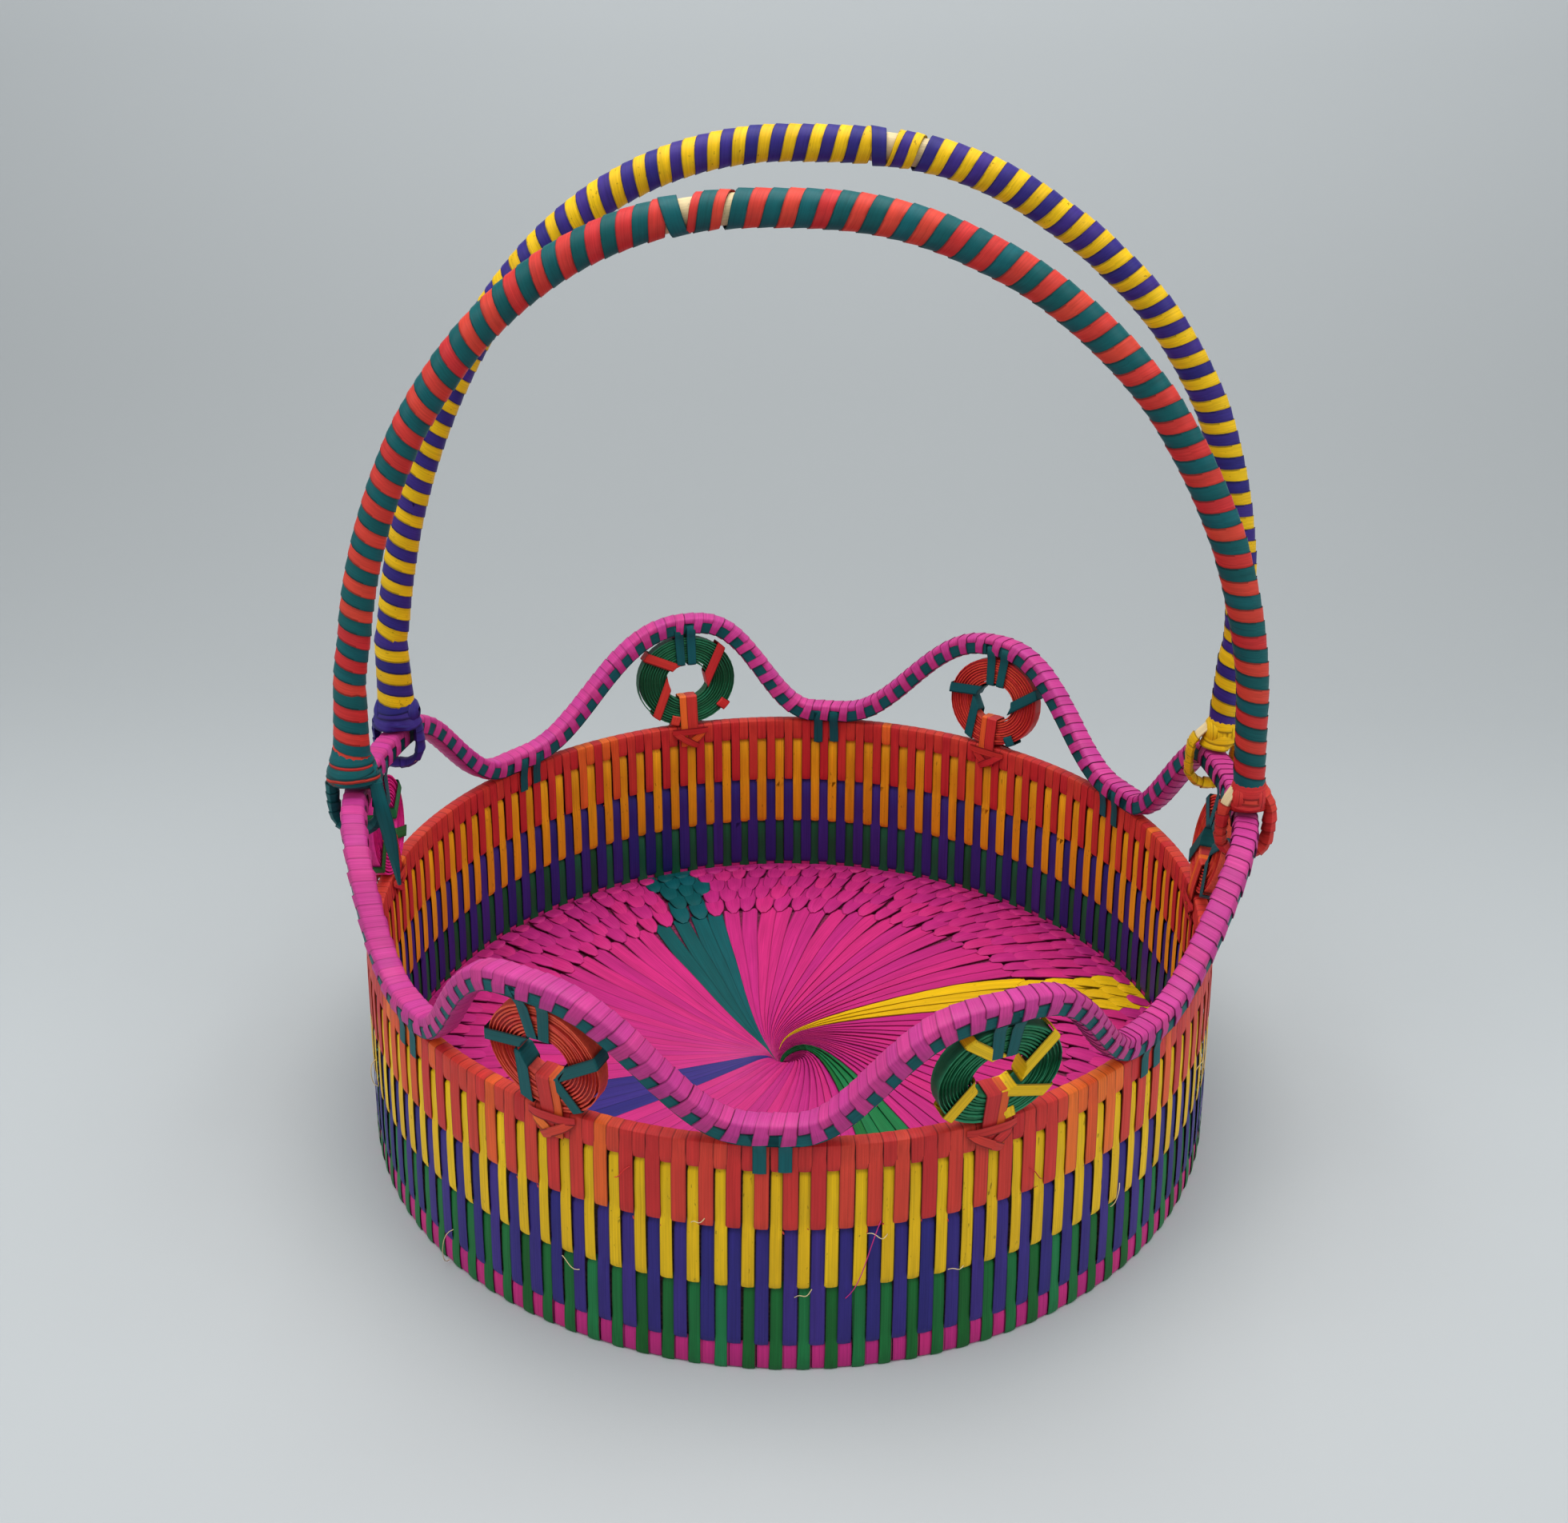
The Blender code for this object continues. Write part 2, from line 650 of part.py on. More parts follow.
def main():
    clear_scene()
    basket = make_collection("palm_leaf_basket")
    cutters = make_collection("cutters")
    build_floor(basket)
    build_wall(basket)
    build_border(basket)
    build_border_ties(basket, cutters)
    for name, angle, width_share, colour_name in MEDALLION_SHARES:
        coil = Coil(angle, width_share)
        build_medallion(name, coil, colour_name, basket)
        build_upper_tie(name, coil, basket)
        build_lower_tie(name, coil, basket)
    front_arch = arch_points(FRONT_PIVOT_Y, FRONT_ARCH_RISE, FRONT_SWAY, FRONT_ARCH_POWERS)
    build_handle("front", front_arch, ("red", "teal", "red"), basket, cutters)
    rear_arch = arch_points(REAR_PIVOT_Y, REAR_ARCH_RISE, REAR_SWAY, REAR_ARCH_POWERS)
    build_handle("rear", rear_arch, ("yellow", "purple", "yellow"), basket, cutters)
    bpy.context.view_layer.update()
    for obj in list(basket.objects):
        settle(obj)


main()
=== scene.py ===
# %% [markdown]
# # A palm leaf basket, strip by strip
#
# The real basket is made of nothing but dyed palm leaf. Bundles of ribs are bent into five hoops,
# each hoop is wrapped in its own colour, and long stitches of that colour tie it to the hoop below.
# A wavy border with six coiled medallions stands on the rim, and two wrapped canes arch over it.
# The measured model gives the sizes and what moves. This script lays the leaf over it.

import math
import random
from collections import namedtuple

import bmesh
import bpy
import numpy as np
from mathutils import Matrix, Vector


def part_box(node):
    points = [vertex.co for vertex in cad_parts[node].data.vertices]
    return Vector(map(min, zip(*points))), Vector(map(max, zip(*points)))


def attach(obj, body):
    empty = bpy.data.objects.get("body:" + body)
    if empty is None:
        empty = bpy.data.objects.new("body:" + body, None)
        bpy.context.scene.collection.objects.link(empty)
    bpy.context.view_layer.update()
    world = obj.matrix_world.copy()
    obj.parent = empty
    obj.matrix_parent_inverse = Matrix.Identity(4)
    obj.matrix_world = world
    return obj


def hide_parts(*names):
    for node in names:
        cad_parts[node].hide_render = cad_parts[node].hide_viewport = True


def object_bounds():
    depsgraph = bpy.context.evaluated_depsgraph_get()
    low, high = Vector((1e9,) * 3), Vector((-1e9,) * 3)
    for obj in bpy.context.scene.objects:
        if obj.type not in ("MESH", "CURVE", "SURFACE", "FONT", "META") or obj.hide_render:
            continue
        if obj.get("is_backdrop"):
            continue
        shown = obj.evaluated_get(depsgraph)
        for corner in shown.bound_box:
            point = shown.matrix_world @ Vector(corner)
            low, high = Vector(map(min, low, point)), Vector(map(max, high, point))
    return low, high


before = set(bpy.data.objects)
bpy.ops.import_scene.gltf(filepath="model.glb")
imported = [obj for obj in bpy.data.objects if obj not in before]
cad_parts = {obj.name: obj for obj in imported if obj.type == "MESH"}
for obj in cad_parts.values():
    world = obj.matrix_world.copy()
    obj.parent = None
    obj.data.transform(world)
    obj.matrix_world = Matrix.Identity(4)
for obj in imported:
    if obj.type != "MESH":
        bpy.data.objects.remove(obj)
cad_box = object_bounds()
MM = 0.001
print("size in mm:", [round(high / MM - low / MM, 1) for low, high in zip(*cad_box)])

# %% [markdown]
# ## Where the photograph was taken from
#
# The camera stands in front of the basket and looks down on it by about 26 degrees. Its place was
# found by fitting the rim, the lines between the hoops and the outline of the handles.

# %% The camera
CAMERA_PLACE = Vector((26.24, -542.27, 391.0)) * MM
CAMERA_TARGET = Vector((-2.15, -0.70, 130.98)) * MM
CAMERA_ROLL = math.radians(0.136)
CAMERA_LENS = 39.45
SENSOR_WIDTH = 36

camera_data = bpy.data.cameras.new("camera")
camera_data.lens = CAMERA_LENS
camera_data.sensor_width = SENSOR_WIDTH
camera = bpy.data.objects.new("camera", camera_data)
bpy.context.scene.collection.objects.link(camera)
camera.location = CAMERA_PLACE
sight = (CAMERA_TARGET - CAMERA_PLACE).to_track_quat("-Z", "Y")
camera.rotation_euler = (sight.to_matrix() @ Matrix.Rotation(CAMERA_ROLL, 3, "Z")).to_euler()
bpy.context.scene.camera = camera
print("camera to target in mm:", round((CAMERA_TARGET - CAMERA_PLACE).length / MM))

# %% [markdown]
# ## Dyed palm leaf
#
# A strip of dyed leaf is satin, with fine fibres along it and cloudy dye. Its edges are darker, partly
# from the dye and partly as painted shade in the slits between strips. No two strips take the dye
# alike. One function makes every colour. It reads the strip's own UV map, which is in metres along
# and across the strip, so the fibres have one size on all the pieces, and an attribute called leaf,
# which holds each strip's shade and the place across it.

# %% The leaf material
# How many fibres, clouds and specks lie in a metre, across the strip and along it
FIBRES_IN_METRE = (2600, 60, 1)
CLOUDS_IN_METRE = (260, 260 / 3, 1)
SPECKS_IN_METRE = (900, 500, 1)
FIBRE_CONTRAST = 0.20
CLOUD_CONTRAST = 0.10
# How far apart in the noise the palest and the darkest strips are
NOISE_SHIFT = 90
SHEEN = 0.22
BUMP_STRENGTH = 0.35
BUMP_DEPTH = 0.12 * MM


def link(tree, source, target):
    tree.links.new(source, target)


def remap(tree, source, low, high, from_low=0.0, from_high=1.0):
    """A number between two levels, from a value between two others."""
    made = tree.nodes.new("ShaderNodeMapRange")
    link(tree, source, made.inputs["Value"])
    made.inputs["From Min"].default_value = from_low
    made.inputs["From Max"].default_value = from_high
    made.inputs["To Min"].default_value = low
    made.inputs["To Max"].default_value = high
    return made.outputs["Result"]


def times(tree, first, second):
    made = tree.nodes.new("ShaderNodeMath")
    made.operation = "MULTIPLY"
    link(tree, first, made.inputs[0])
    link(tree, second, made.inputs[1])
    return made.outputs["Value"]


def stretched_noise(tree, scale, detail, shade):
    """Noise on the strip's UV map, stretched along it, and unlike from strip to strip."""
    place = tree.nodes.new("ShaderNodeUVMap")
    place.uv_map = "strip"
    stretch = tree.nodes.new("ShaderNodeMapping")
    stretch.inputs["Scale"].default_value = scale
    link(tree, place.outputs["UV"], stretch.inputs["Vector"])
    grain = tree.nodes.new("ShaderNodeTexNoise")
    grain.noise_dimensions = "4D"
    grain.inputs["Scale"].default_value = 1
    grain.inputs["Detail"].default_value = detail
    link(tree, stretch.outputs["Vector"], grain.inputs["Vector"])
    link(tree, remap(tree, shade, 0, NOISE_SHIFT), grain.inputs["W"])
    return grain.outputs["Fac"]


def leaf_material(name, colour, shade_spread=0.10, hue_spread=0.008, roughness=0.50, specks=0.0,
                  edge=(0.84, 0.42)):
    """A dyed leaf. Edge says where across the strip its edge begins to change, and by how much:
    under 1 darker, partly dye and partly painted shade; over 1 a painted highlight.
    """
    material = bpy.data.materials.new(name)
    material.use_nodes = True
    tree = material.node_tree
    shader = tree.nodes["Principled BSDF"]
    leaf = tree.nodes.new("ShaderNodeAttribute")
    leaf.attribute_name = "leaf"
    parts = tree.nodes.new("ShaderNodeSeparateXYZ")
    link(tree, leaf.outputs["Vector"], parts.inputs["Vector"])
    shade, side = parts.outputs["X"], parts.outputs["Y"]
    fibres = stretched_noise(tree, FIBRES_IN_METRE, 3, shade)
    clouds = stretched_noise(tree, CLOUDS_IN_METRE, 2, shade)
    fibre_levels = remap(tree, fibres, 1 - FIBRE_CONTRAST, 1 + FIBRE_CONTRAST, 0.25, 0.75)
    cloud_levels = remap(tree, clouds, 1 - CLOUD_CONTRAST, 1 + CLOUD_CONTRAST, 0.3, 0.7)
    value = times(tree, fibre_levels, cloud_levels)
    value = times(tree, value, remap(tree, shade, 1 - shade_spread, 1 + shade_spread))
    # Painted shade and highlight at the edges: towards its edges and on its thin sides the strip is darker,
    # partly dye and partly painted shade in the slits between strips, or lighter where the edge level is
    # over 1, a painted highlight
    from_middle = tree.nodes.new("ShaderNodeMath")
    from_middle.operation = "ABSOLUTE"
    link(tree, side, from_middle.inputs[0])
    value = times(tree, value, remap(tree, from_middle.outputs["Value"], 1.0, edge[1], edge[0], 1.0))
    if specks:
        spots = stretched_noise(tree, SPECKS_IN_METRE, 2, shade)
        value = times(tree, value, remap(tree, spots, 1.0, 1 - specks, 0.66, 0.72))
    dye = tree.nodes.new("ShaderNodeHueSaturation")
    dye.inputs["Color"].default_value = (*colour, 1)
    link(tree, remap(tree, shade, 0.5 - hue_spread, 0.5 + hue_spread), dye.inputs["Hue"])
    link(tree, value, dye.inputs["Value"])
    link(tree, dye.outputs["Color"], shader.inputs["Base Color"])
    link(tree, remap(tree, fibres, roughness + 0.08, roughness - 0.06), shader.inputs["Roughness"])
    shader.inputs["Specular IOR Level"].default_value = SHEEN
    bump = tree.nodes.new("ShaderNodeBump")
    bump.inputs["Strength"].default_value = BUMP_STRENGTH
    bump.inputs["Distance"].default_value = BUMP_DEPTH
    link(tree, fibres, bump.inputs["Height"])
    link(tree, bump.outputs["Normal"], shader.inputs["Normal"])
    return material


def rib_shade_material(name, colour):
    """The shredded ribs inside the bundles, seen only in the slits between strips, coloured dark as
    painted shade there.
    """
    material = bpy.data.materials.new(name)
    material.use_nodes = True
    tree = material.node_tree
    shader = tree.nodes["Principled BSDF"]
    shader.inputs["Roughness"].default_value = 0.8
    place = tree.nodes.new("ShaderNodeTexCoord")
    grain = tree.nodes.new("ShaderNodeTexNoise")
    grain.inputs["Scale"].default_value = 900
    grain.inputs["Detail"].default_value = 4
    link(tree, place.outputs["Object"], grain.inputs["Vector"])
    dye = tree.nodes.new("ShaderNodeHueSaturation")
    dye.inputs["Color"].default_value = (*colour, 1)
    link(tree, remap(tree, grain.outputs["Fac"], 0.3, 1.9, 0.3, 0.7), dye.inputs["Value"])
    link(tree, dye.outputs["Color"], shader.inputs["Base Color"])
    return material


DYES = {
    "magenta": leaf_material("magenta_leaf", (0.53, 0.021, 0.190)),
    "orchid": leaf_material("orchid_leaf", (0.49, 0.038, 0.225), shade_spread=0.06),
    "red": leaf_material("red_leaf", (0.58, 0.038, 0.028), shade_spread=0.08, hue_spread=0.004),
    "orange": leaf_material("orange_leaf", (0.74, 0.115, 0.020)),
    "yellow": leaf_material("yellow_leaf", (0.77, 0.47, 0.004), shade_spread=0.06, hue_spread=0.003,
                            specks=0.5),
    # A warmer copy of the yellow for the inside stitches: painted warm light, standing in for light bounced
    # from the pink floor
    "amber": leaf_material("yellow_leaf_painted_bounce_light", (0.76, 0.33, 0.006), shade_spread=0.08, hue_spread=0.004,
                           specks=0.4),
    "purple": leaf_material("purple_leaf", (0.032, 0.020, 0.185)),
    "green": leaf_material("green_leaf", (0.008, 0.140, 0.033), shade_spread=0.30, hue_spread=0.015),
    # A darker copy of the green for the inside stitches: painted shade inside the basket
    "bottle": leaf_material("green_leaf_painted_shade", (0.008, 0.085, 0.032), shade_spread=0.25,
                            hue_spread=0.015),
    "teal": leaf_material("teal_leaf", (0.002, 0.092, 0.100), shade_spread=0.12),
    "cream": leaf_material("cream_leaf", (0.70, 0.55, 0.30), specks=0.3),
    # Both rib colours are painted shade: nearly black in the hoops and the border, dark pink under the
    # floor
    "shadow": rib_shade_material("ribs_painted_shade", (0.055, 0.022, 0.020)),
    "floor_shadow": rib_shade_material("pink_ribs_painted_shade", (0.16, 0.006, 0.05)),
}
print("dyes:", ", ".join(DYES))

# %% [markdown]
# ## Strips
#
# Everything here is flat strip: stitches, wraps, coils and ties. A row of strips starts as one grid.
# Deleting every third column of its faces leaves separate ribbons, and each is then moved to where
# it lies. One solidify gives all of them the thickness of a leaf. That is quick even for hundreds of
# strips, and each stays a real closed piece.

# %% Lay strips
LEAF_THICKNESS = 0.40 * MM
SHARP_ANGLE = math.radians(38)
Strip = namedtuple("Strip", "place width length dye shade")


def lay(bm, strips, rows, dyes, across=2):
    """Lays strips of equal counts of faces. A strip's place takes (side, row) as two arrays."""
    wide = across + 1
    columns = len(strips) * wide - 1
    grid = bmesh.ops.create_grid(bm, x_segments=columns, y_segments=rows, size=0.5)["verts"]
    # The column of every face
    column_of = {face: int((face.calc_center_median().x + 0.5) * columns)
                 for vert in grid for face in vert.link_faces}
    between = [face for face, column in column_of.items() if column % wide == across]
    bmesh.ops.delete(bm, geom=between, context="FACES")
    side = np.tile(np.linspace(-1, 1, wide), rows + 1)
    row = np.repeat(np.arange(rows + 1), wide)
    spots = [strip.place(side, row) for strip in strips]
    shades = [np.broadcast_to(strip.shade, (rows + 1,)) for strip in strips]
    uv = bm.loops.layers.uv["strip"]
    leaf = bm.verts.layers.float_vector["leaf"]
    flat = {}
    for vert in grid:
        column = round((vert.co.x + 0.5) * columns)
        up = round((vert.co.y + 0.5) * rows)
        which, step = divmod(column, wide)
        strip = strips[which]
        slant = step / across * 2 - 1
        flat[vert] = (slant * strip.width / 2, up / rows * strip.length)
        vert[leaf] = (shades[which][up], slant, up / rows)
        vert.co = spots[which][up * wide + step]
    for vert in grid:
        for loop in vert.link_loops:
            loop[uv].uv = flat[vert]
    for face, column in column_of.items():
        if column % wide != across:
            face.material_index = dyes.index(strips[column // wide].dye)


def new_bmesh():
    bm = bmesh.new()
    bm.loops.layers.uv.new("strip")
    bm.verts.layers.float_vector.new("leaf")
    return bm


def finish_piece(name, bm, dyes, body, nodes, thickness=LEAF_THICKNESS):
    """Gives the strips their thickness and makes the piece, in place of the nodes it stands for."""
    if thickness:
        bmesh.ops.solidify(bm, geom=bm.faces[:], thickness=thickness)
    mesh = bpy.data.meshes.new(name)
    bm.to_mesh(mesh)
    bm.free()
    mesh.shade_smooth()
    mesh.set_sharp_from_angle(angle=SHARP_ANGLE)
    for dye in dyes:
        mesh.materials.append(DYES[dye])
    piece = bpy.data.objects.new(name, mesh)
    bpy.context.scene.collection.objects.link(piece)
    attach(piece, body)
    if nodes:
        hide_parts(*nodes)
    print(name, "triangles:", len(mesh.loops) - 2 * len(mesh.polygons))
    return piece

# %% [markdown]
# ## The wall
#
# Seen from outside, two kinds of column take turns, 116 of each. In one a long red stitch gives way
# to a purple one, in the other a yellow stitch gives way to a green one. Each stitch wraps its own
# hoop, crosses the next one a little proud of it, and dips in between the two. The inside shows the
# same pattern, so one path with a mirror face makes both.

# %% Sizes of the wall
RIM_RADIUS = 150.0 * MM
BASE_RADIUS = 153.5 * MM
WALL_THICKNESS = 5.0 * MM
PAIRS = 116
HOOPS = ("rim_hoop", "yellow_hoop", "purple_hoop", "green_hoop", "base_hoop")
RIM_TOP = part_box("rim_hoop")[1].z
FOOT = [RIM_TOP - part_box(name)[0].z for name in HOOPS]
HEAD = [0.0] + FOOT[:-1]
GROOVE = 0.7 * MM
PROUD = 0.45 * MM
CROWN = 0.16 * MM
# A stitch keeps this share of the next bundle's roundness where it crosses it
CROSSING_SHARE = 0.25
rng = random.Random(7)
print("hoop feet below the rim in mm:", [round(foot / MM, 1) for foot in FOOT])


def wall_radius(depth, face):
    """The wall's radius at a depth below the rim: face is 1 outside and -1 inside."""
    outer = RIM_RADIUS + (BASE_RADIUS - RIM_RADIUS) * depth / RIM_TOP
    return outer if face > 0 else outer - WALL_THICKNESS


def bundle(depth):
    """How far a hoop's bundle lies back from the wall's face: most in the grooves between hoops."""
    for head, foot in zip(HEAD, FOOT):
        if depth <= foot:
            across = (depth - head) / (foot - head) * 2 - 1
            return -GROOVE * across ** 4
    return -GROOVE


def path_normals(path):
    """Outward normals of a path of (radius, height) points."""
    ahead = np.gradient(path, axis=0)
    normals = np.stack([ahead[:, 1], -ahead[:, 0]], axis=1)
    return normals / np.linalg.norm(normals, axis=1)[:, None]


def wall_strip(angle, path, widths, drifts, dye, shade, crown=CROWN):
    """A strip along a path in the plane of (radius, height), its width along the wall."""
    normals = path_normals(path)

    def place(side, row):
        lift = crown * (1 - side ** 2)
        radius = path[row, 0] + normals[row, 0] * lift
        height = path[row, 1] + normals[row, 1] * lift
        turn = angle + (drifts[row] + side * widths[row] / 2) / RIM_RADIUS
        return np.stack([radius * np.cos(turn), radius * np.sin(turn), height], axis=1)

    length = float(np.linalg.norm(np.diff(path, axis=0), axis=1).sum())
    return Strip(place, float(widths.max()), length, dye, shade)


def stitch_path(hoop, face):
    """A stitch from under the one above, over its own hoop and the next, to its tucked end."""
    start, middle = HEAD[hoop], FOOT[hoop]
    end = FOOT[hoop + 1]
    # Each stop: its depth below the rim, and how far the strip lies off the bundle there
    stops = [
        (start - 1.2 * MM, -1.1 * MM), (start + 0.5 * MM, -0.75 * MM), (start + 2.0 * MM, 0.0),
        ((start + middle) / 2, 0.0), (middle - 3.0 * MM, 0.1 * MM), (middle, PROUD),
        (middle + 3.0 * MM, PROUD), ((middle + end) / 2, PROUD), (end - 3.0 * MM, PROUD),
        (end - 1.2 * MM, PROUD * 0.8), (end - 0.35 * MM, 0.0), (end, -0.9 * MM),
    ]
    points = []
    for depth, lift in stops:
        follow = 1.0 if depth < middle else CROSSING_SHARE
        away = bundle(max(depth, 0)) * follow + lift
        points.append((wall_radius(depth, face) + face * away, RIM_TOP - depth))
    return np.array(points[::-1] if face > 0 else points)


STITCH_ROWS = len(stitch_path(1, 1)) - 1
print("stitch rows:", STITCH_ROWS)

# %% Stitches of the yellow, purple and green hoops
PITCH = 2 * math.pi / PAIRS
STITCH_WIDTH = {"yellow": 3.9 * MM, "purple": 4.5 * MM, "green": 4.0 * MM, "red": 4.4 * MM}
END_TAPER = 0.55
NEXT_TAPER = 0.9
# A second strip beside a doubled stitch: its offset and width as shares of the stitch's width, and
# how far it crosses over, as a share of its offset
DOUBLE_OFFSET_SHARE = 0.42
DOUBLE_WIDTH_SHARE = 0.62
DOUBLE_CROSSING_SHARE = 1.3
# How wide a stitch starts and ends outside (1) and inside (-1), as shares of its full width
TAPER_SHARES = {1: (0.86, 1.0), -1: (1.10, 1.02)}


def lean_at(angle):
    """How far a long stitch leans along the wall by its lower end."""
    return (0.9 * math.sin(2 * angle + 0.8) + 0.5 * math.sin(5 * angle)) * MM


def stitch_widths(width, count, face):
    """Widths from one end to the other, with the tucked end rounded."""
    widths = width * np.linspace(*TAPER_SHARES[face], count)
    widths[-1] *= END_TAPER
    widths[-2] *= NEXT_TAPER
    return widths[::-1] if face > 0 else widths


def stitches(hoop, offset, dyes, doubled):
    """All the stitches of one hoop, outside and then inside. Doubled is the share of double ones."""
    made = []
    width = STITCH_WIDTH[dyes[0]]
    for face, dye, share_doubled in zip((1, -1), dyes, doubled):
        path = stitch_path(hoop, face)
        count = len(path)
        for column in range(PAIRS):
            angle = (column + offset) * PITCH
            wide = width * rng.uniform(0.93, 1.07)
            slide = rng.uniform(-0.15, 0.15) * MM
            lean = lean_at(angle) + rng.uniform(-0.4, 0.4) * MM
            share = np.linspace(1, 0, count) if face > 0 else np.linspace(0, 1, count)
            drifts = slide + lean * share * 0.5
            shade = rng.random()
            made.append(wall_strip(angle, path, stitch_widths(wide, count, face), drifts, dye, shade))
            if rng.random() < share_doubled:
                beside = wide * rng.choice((-DOUBLE_OFFSET_SHARE, DOUBLE_OFFSET_SHARE))
                under = path - path_normals(path) * LEAF_THICKNESS * 0.9
                slim = stitch_widths(wide * DOUBLE_WIDTH_SHARE, count, face)
                cross = drifts + beside * (1 - DOUBLE_CROSSING_SHARE * share)
                made.append(wall_strip(angle, under, slim, cross, dye, rng.random()))
    return made


def ring_core(bm, profile, steps=PAIRS):
    """A closed ring under the strips: a profile of (radius, height) points spun round."""
    verts = [bm.verts.new((radius, 0, height)) for radius, height in profile]
    edges = [bm.edges.new((verts[i - 1], verts[i])) for i in range(len(verts))]
    bmesh.ops.spin(bm, geom=verts + edges, axis=(0, 0, 1), cent=(0, 0, 0), steps=steps,
                   angle=2 * math.pi, use_merge=True)


# How far the ribs lie inside the stitches, and inside the wraps of the rim and the foot
STITCH_INSET = 1.2 * MM
WRAP_INSET = 0.7 * MM
CORE_LEVELS = 5
CORE_END = 0.3 * MM


def core_profile(hoop, inset=STITCH_INSET):
    """The bundle of ribs inside a hoop, a little inside the strips on both faces."""
    points = []
    for face in (1, -1):
        depths = np.linspace(HEAD[hoop] + CORE_END, FOOT[hoop] - CORE_END, CORE_LEVELS)
        for depth in depths if face > 0 else depths[::-1]:
            back = bundle(depth) - inset
            points.append((wall_radius(depth, face) + face * back, RIM_TOP - depth))
    return points


def mixed_piece(name, strip_sets, dyes, body, nodes, core=None, core_dye="shadow"):
    """A piece of several sets of strips, each set with its own count of rows."""
    bm = new_bmesh()
    for strips, rows in strip_sets:
        lay(bm, strips, rows, dyes)
    bmesh.ops.solidify(bm, geom=bm.faces[:], thickness=LEAF_THICKNESS)
    if core:
        cored = len(bm.faces)
        for profile in core:
            ring_core(bm, profile)
        bm.faces.ensure_lookup_table()
        ring = bm.faces[cored:]
        bmesh.ops.recalc_face_normals(bm, faces=ring)
        for face in ring:
            face.material_index = len(dyes)
    return finish_piece(name, bm, dyes + [core_dye] if core else dyes, body, nodes, thickness=0)


# Each colour: its hoop, where its columns begin, its dyes outside and inside, and the shares of
# doubled stitches there. Inside, the yellow and the green take copies of their dyes, painted with warm
# bounced light and with shade.
STITCHES = {
    "yellow": (1, 0.5, ("yellow", "amber"), (0.18, 0.75)),
    "purple": (2, 0.0, ("purple", "purple"), (0.12, 0.10)),
    "green": (3, 0.5, ("green", "bottle"), (0.55, 0.30)),
}
for name, (hoop, offset, dyes, doubled) in STITCHES.items():
    made = stitches(hoop, offset, dyes, doubled)
    mixed_piece(name + "_stitches", [(made, STITCH_ROWS)], list(dict.fromkeys(dyes)), "basket",
                [HOOPS[hoop]], core=[core_profile(hoop)])

# %% [markdown]
# ### The red rim and the pink foot
#
# On the rim a strip is laid from its outer end up, over the flat top and down the inside. Every
# second one is long and reaches over the yellow hoop. Some wraps were dyed orange. The foot is
# wrapped the same way round its underside, in pink.

# %% Rim wraps and foot wraps
RIM_WRAP_WIDTH = 4.05 * MM
SLIM_INSIDE = 0.84
LONG_END = FOOT[1] - 0.2 * MM
SHORT_END = FOOT[0] - 0.2 * MM
RIM_LIFT = 0.15 * MM
# A wrap narrows over the top, which is this share of its way from the middle to each end
TOP_SHARE = 0.45
# Where many wraps are orange: direction and reach to each side, in degrees. The chance of an orange
# wrap is the first one there and the second one elsewhere.
ORANGE_STRETCHES = ((313, 7), (128, 6), (218, 8))
ORANGE_CHANCES = (0.7, 0.03)


def over_rim(end, long):
    """A wrap's path: up the outside, over the top with creased edges, down the inside."""
    if long:
        stops = [(end, -0.9 * MM), (end - 0.35 * MM, 0.1 * MM), (end - 1.5 * MM, PROUD),
                 (end - 4 * MM, PROUD), ((end + SHORT_END) / 2, PROUD), (SHORT_END + 3 * MM, PROUD),
                 (SHORT_END, PROUD * 0.7), (SHORT_END - 2 * MM, 0.1 * MM)]
    else:
        stops = [(end, -0.9 * MM), (end - 0.3 * MM, -0.1 * MM), (end - 1.2 * MM, 0.12 * MM),
                 (end - 2.5 * MM, 0.12 * MM)]
    stops += [(4.0 * MM, 0.05 * MM), (2.2 * MM, 0.0), (1.0 * MM, -0.02 * MM)]
    outside = [(wall_radius(depth, 1) + lift, RIM_TOP - depth) for depth, lift in stops]
    inside = [(wall_radius(depth, -1) - lift, RIM_TOP - depth) for depth, lift in stops[::-1]]
    top = RIM_TOP + RIM_LIFT
    across = [(RIM_RADIUS - 0.25 * MM, top - 0.35 * MM), (RIM_RADIUS - 0.9 * MM, top),
              (RIM_RADIUS - WALL_THICKNESS / 2, top + 0.05 * MM),
              (RIM_RADIUS - WALL_THICKNESS + 0.9 * MM, top),
              (RIM_RADIUS - WALL_THICKNESS + 0.25 * MM, top - 0.35 * MM)]
    return np.array(outside + across + inside)


def rim_wraps(offset, end, long, width):
    made = []
    path = over_rim(end, long)
    count = len(path)
    outer = np.linspace(1, -1, count)
    for column in range(PAIRS):
        angle = (column + offset) * PITCH
        lean = lean_at(angle) * (1 if long else 0.2) + rng.uniform(-0.2, 0.2) * MM
        drifts = np.abs(outer) * lean * 0.5 + outer * rng.uniform(-0.25, 0.25) * MM
        wide = width * rng.uniform(0.97, 1.05)
        widths = np.where(np.abs(outer) > TOP_SHARE, wide, RIM_WRAP_WIDTH)
        widths[outer < -TOP_SHARE] *= SLIM_INSIDE if long else 1.0
        widths[[0, -1]] *= END_TAPER
        widths[[1, -2]] *= NEXT_TAPER
        degrees = math.degrees(angle) % 360
        fiery = any(abs(degrees - spot) < reach for spot, reach in ORANGE_STRETCHES)
        dye = "orange" if rng.random() < ORANGE_CHANCES[0 if fiery else 1] else "red"
        made.append(wall_strip(angle, path, widths, drifts, dye, rng.random(), crown=0.1 * MM))
    return made


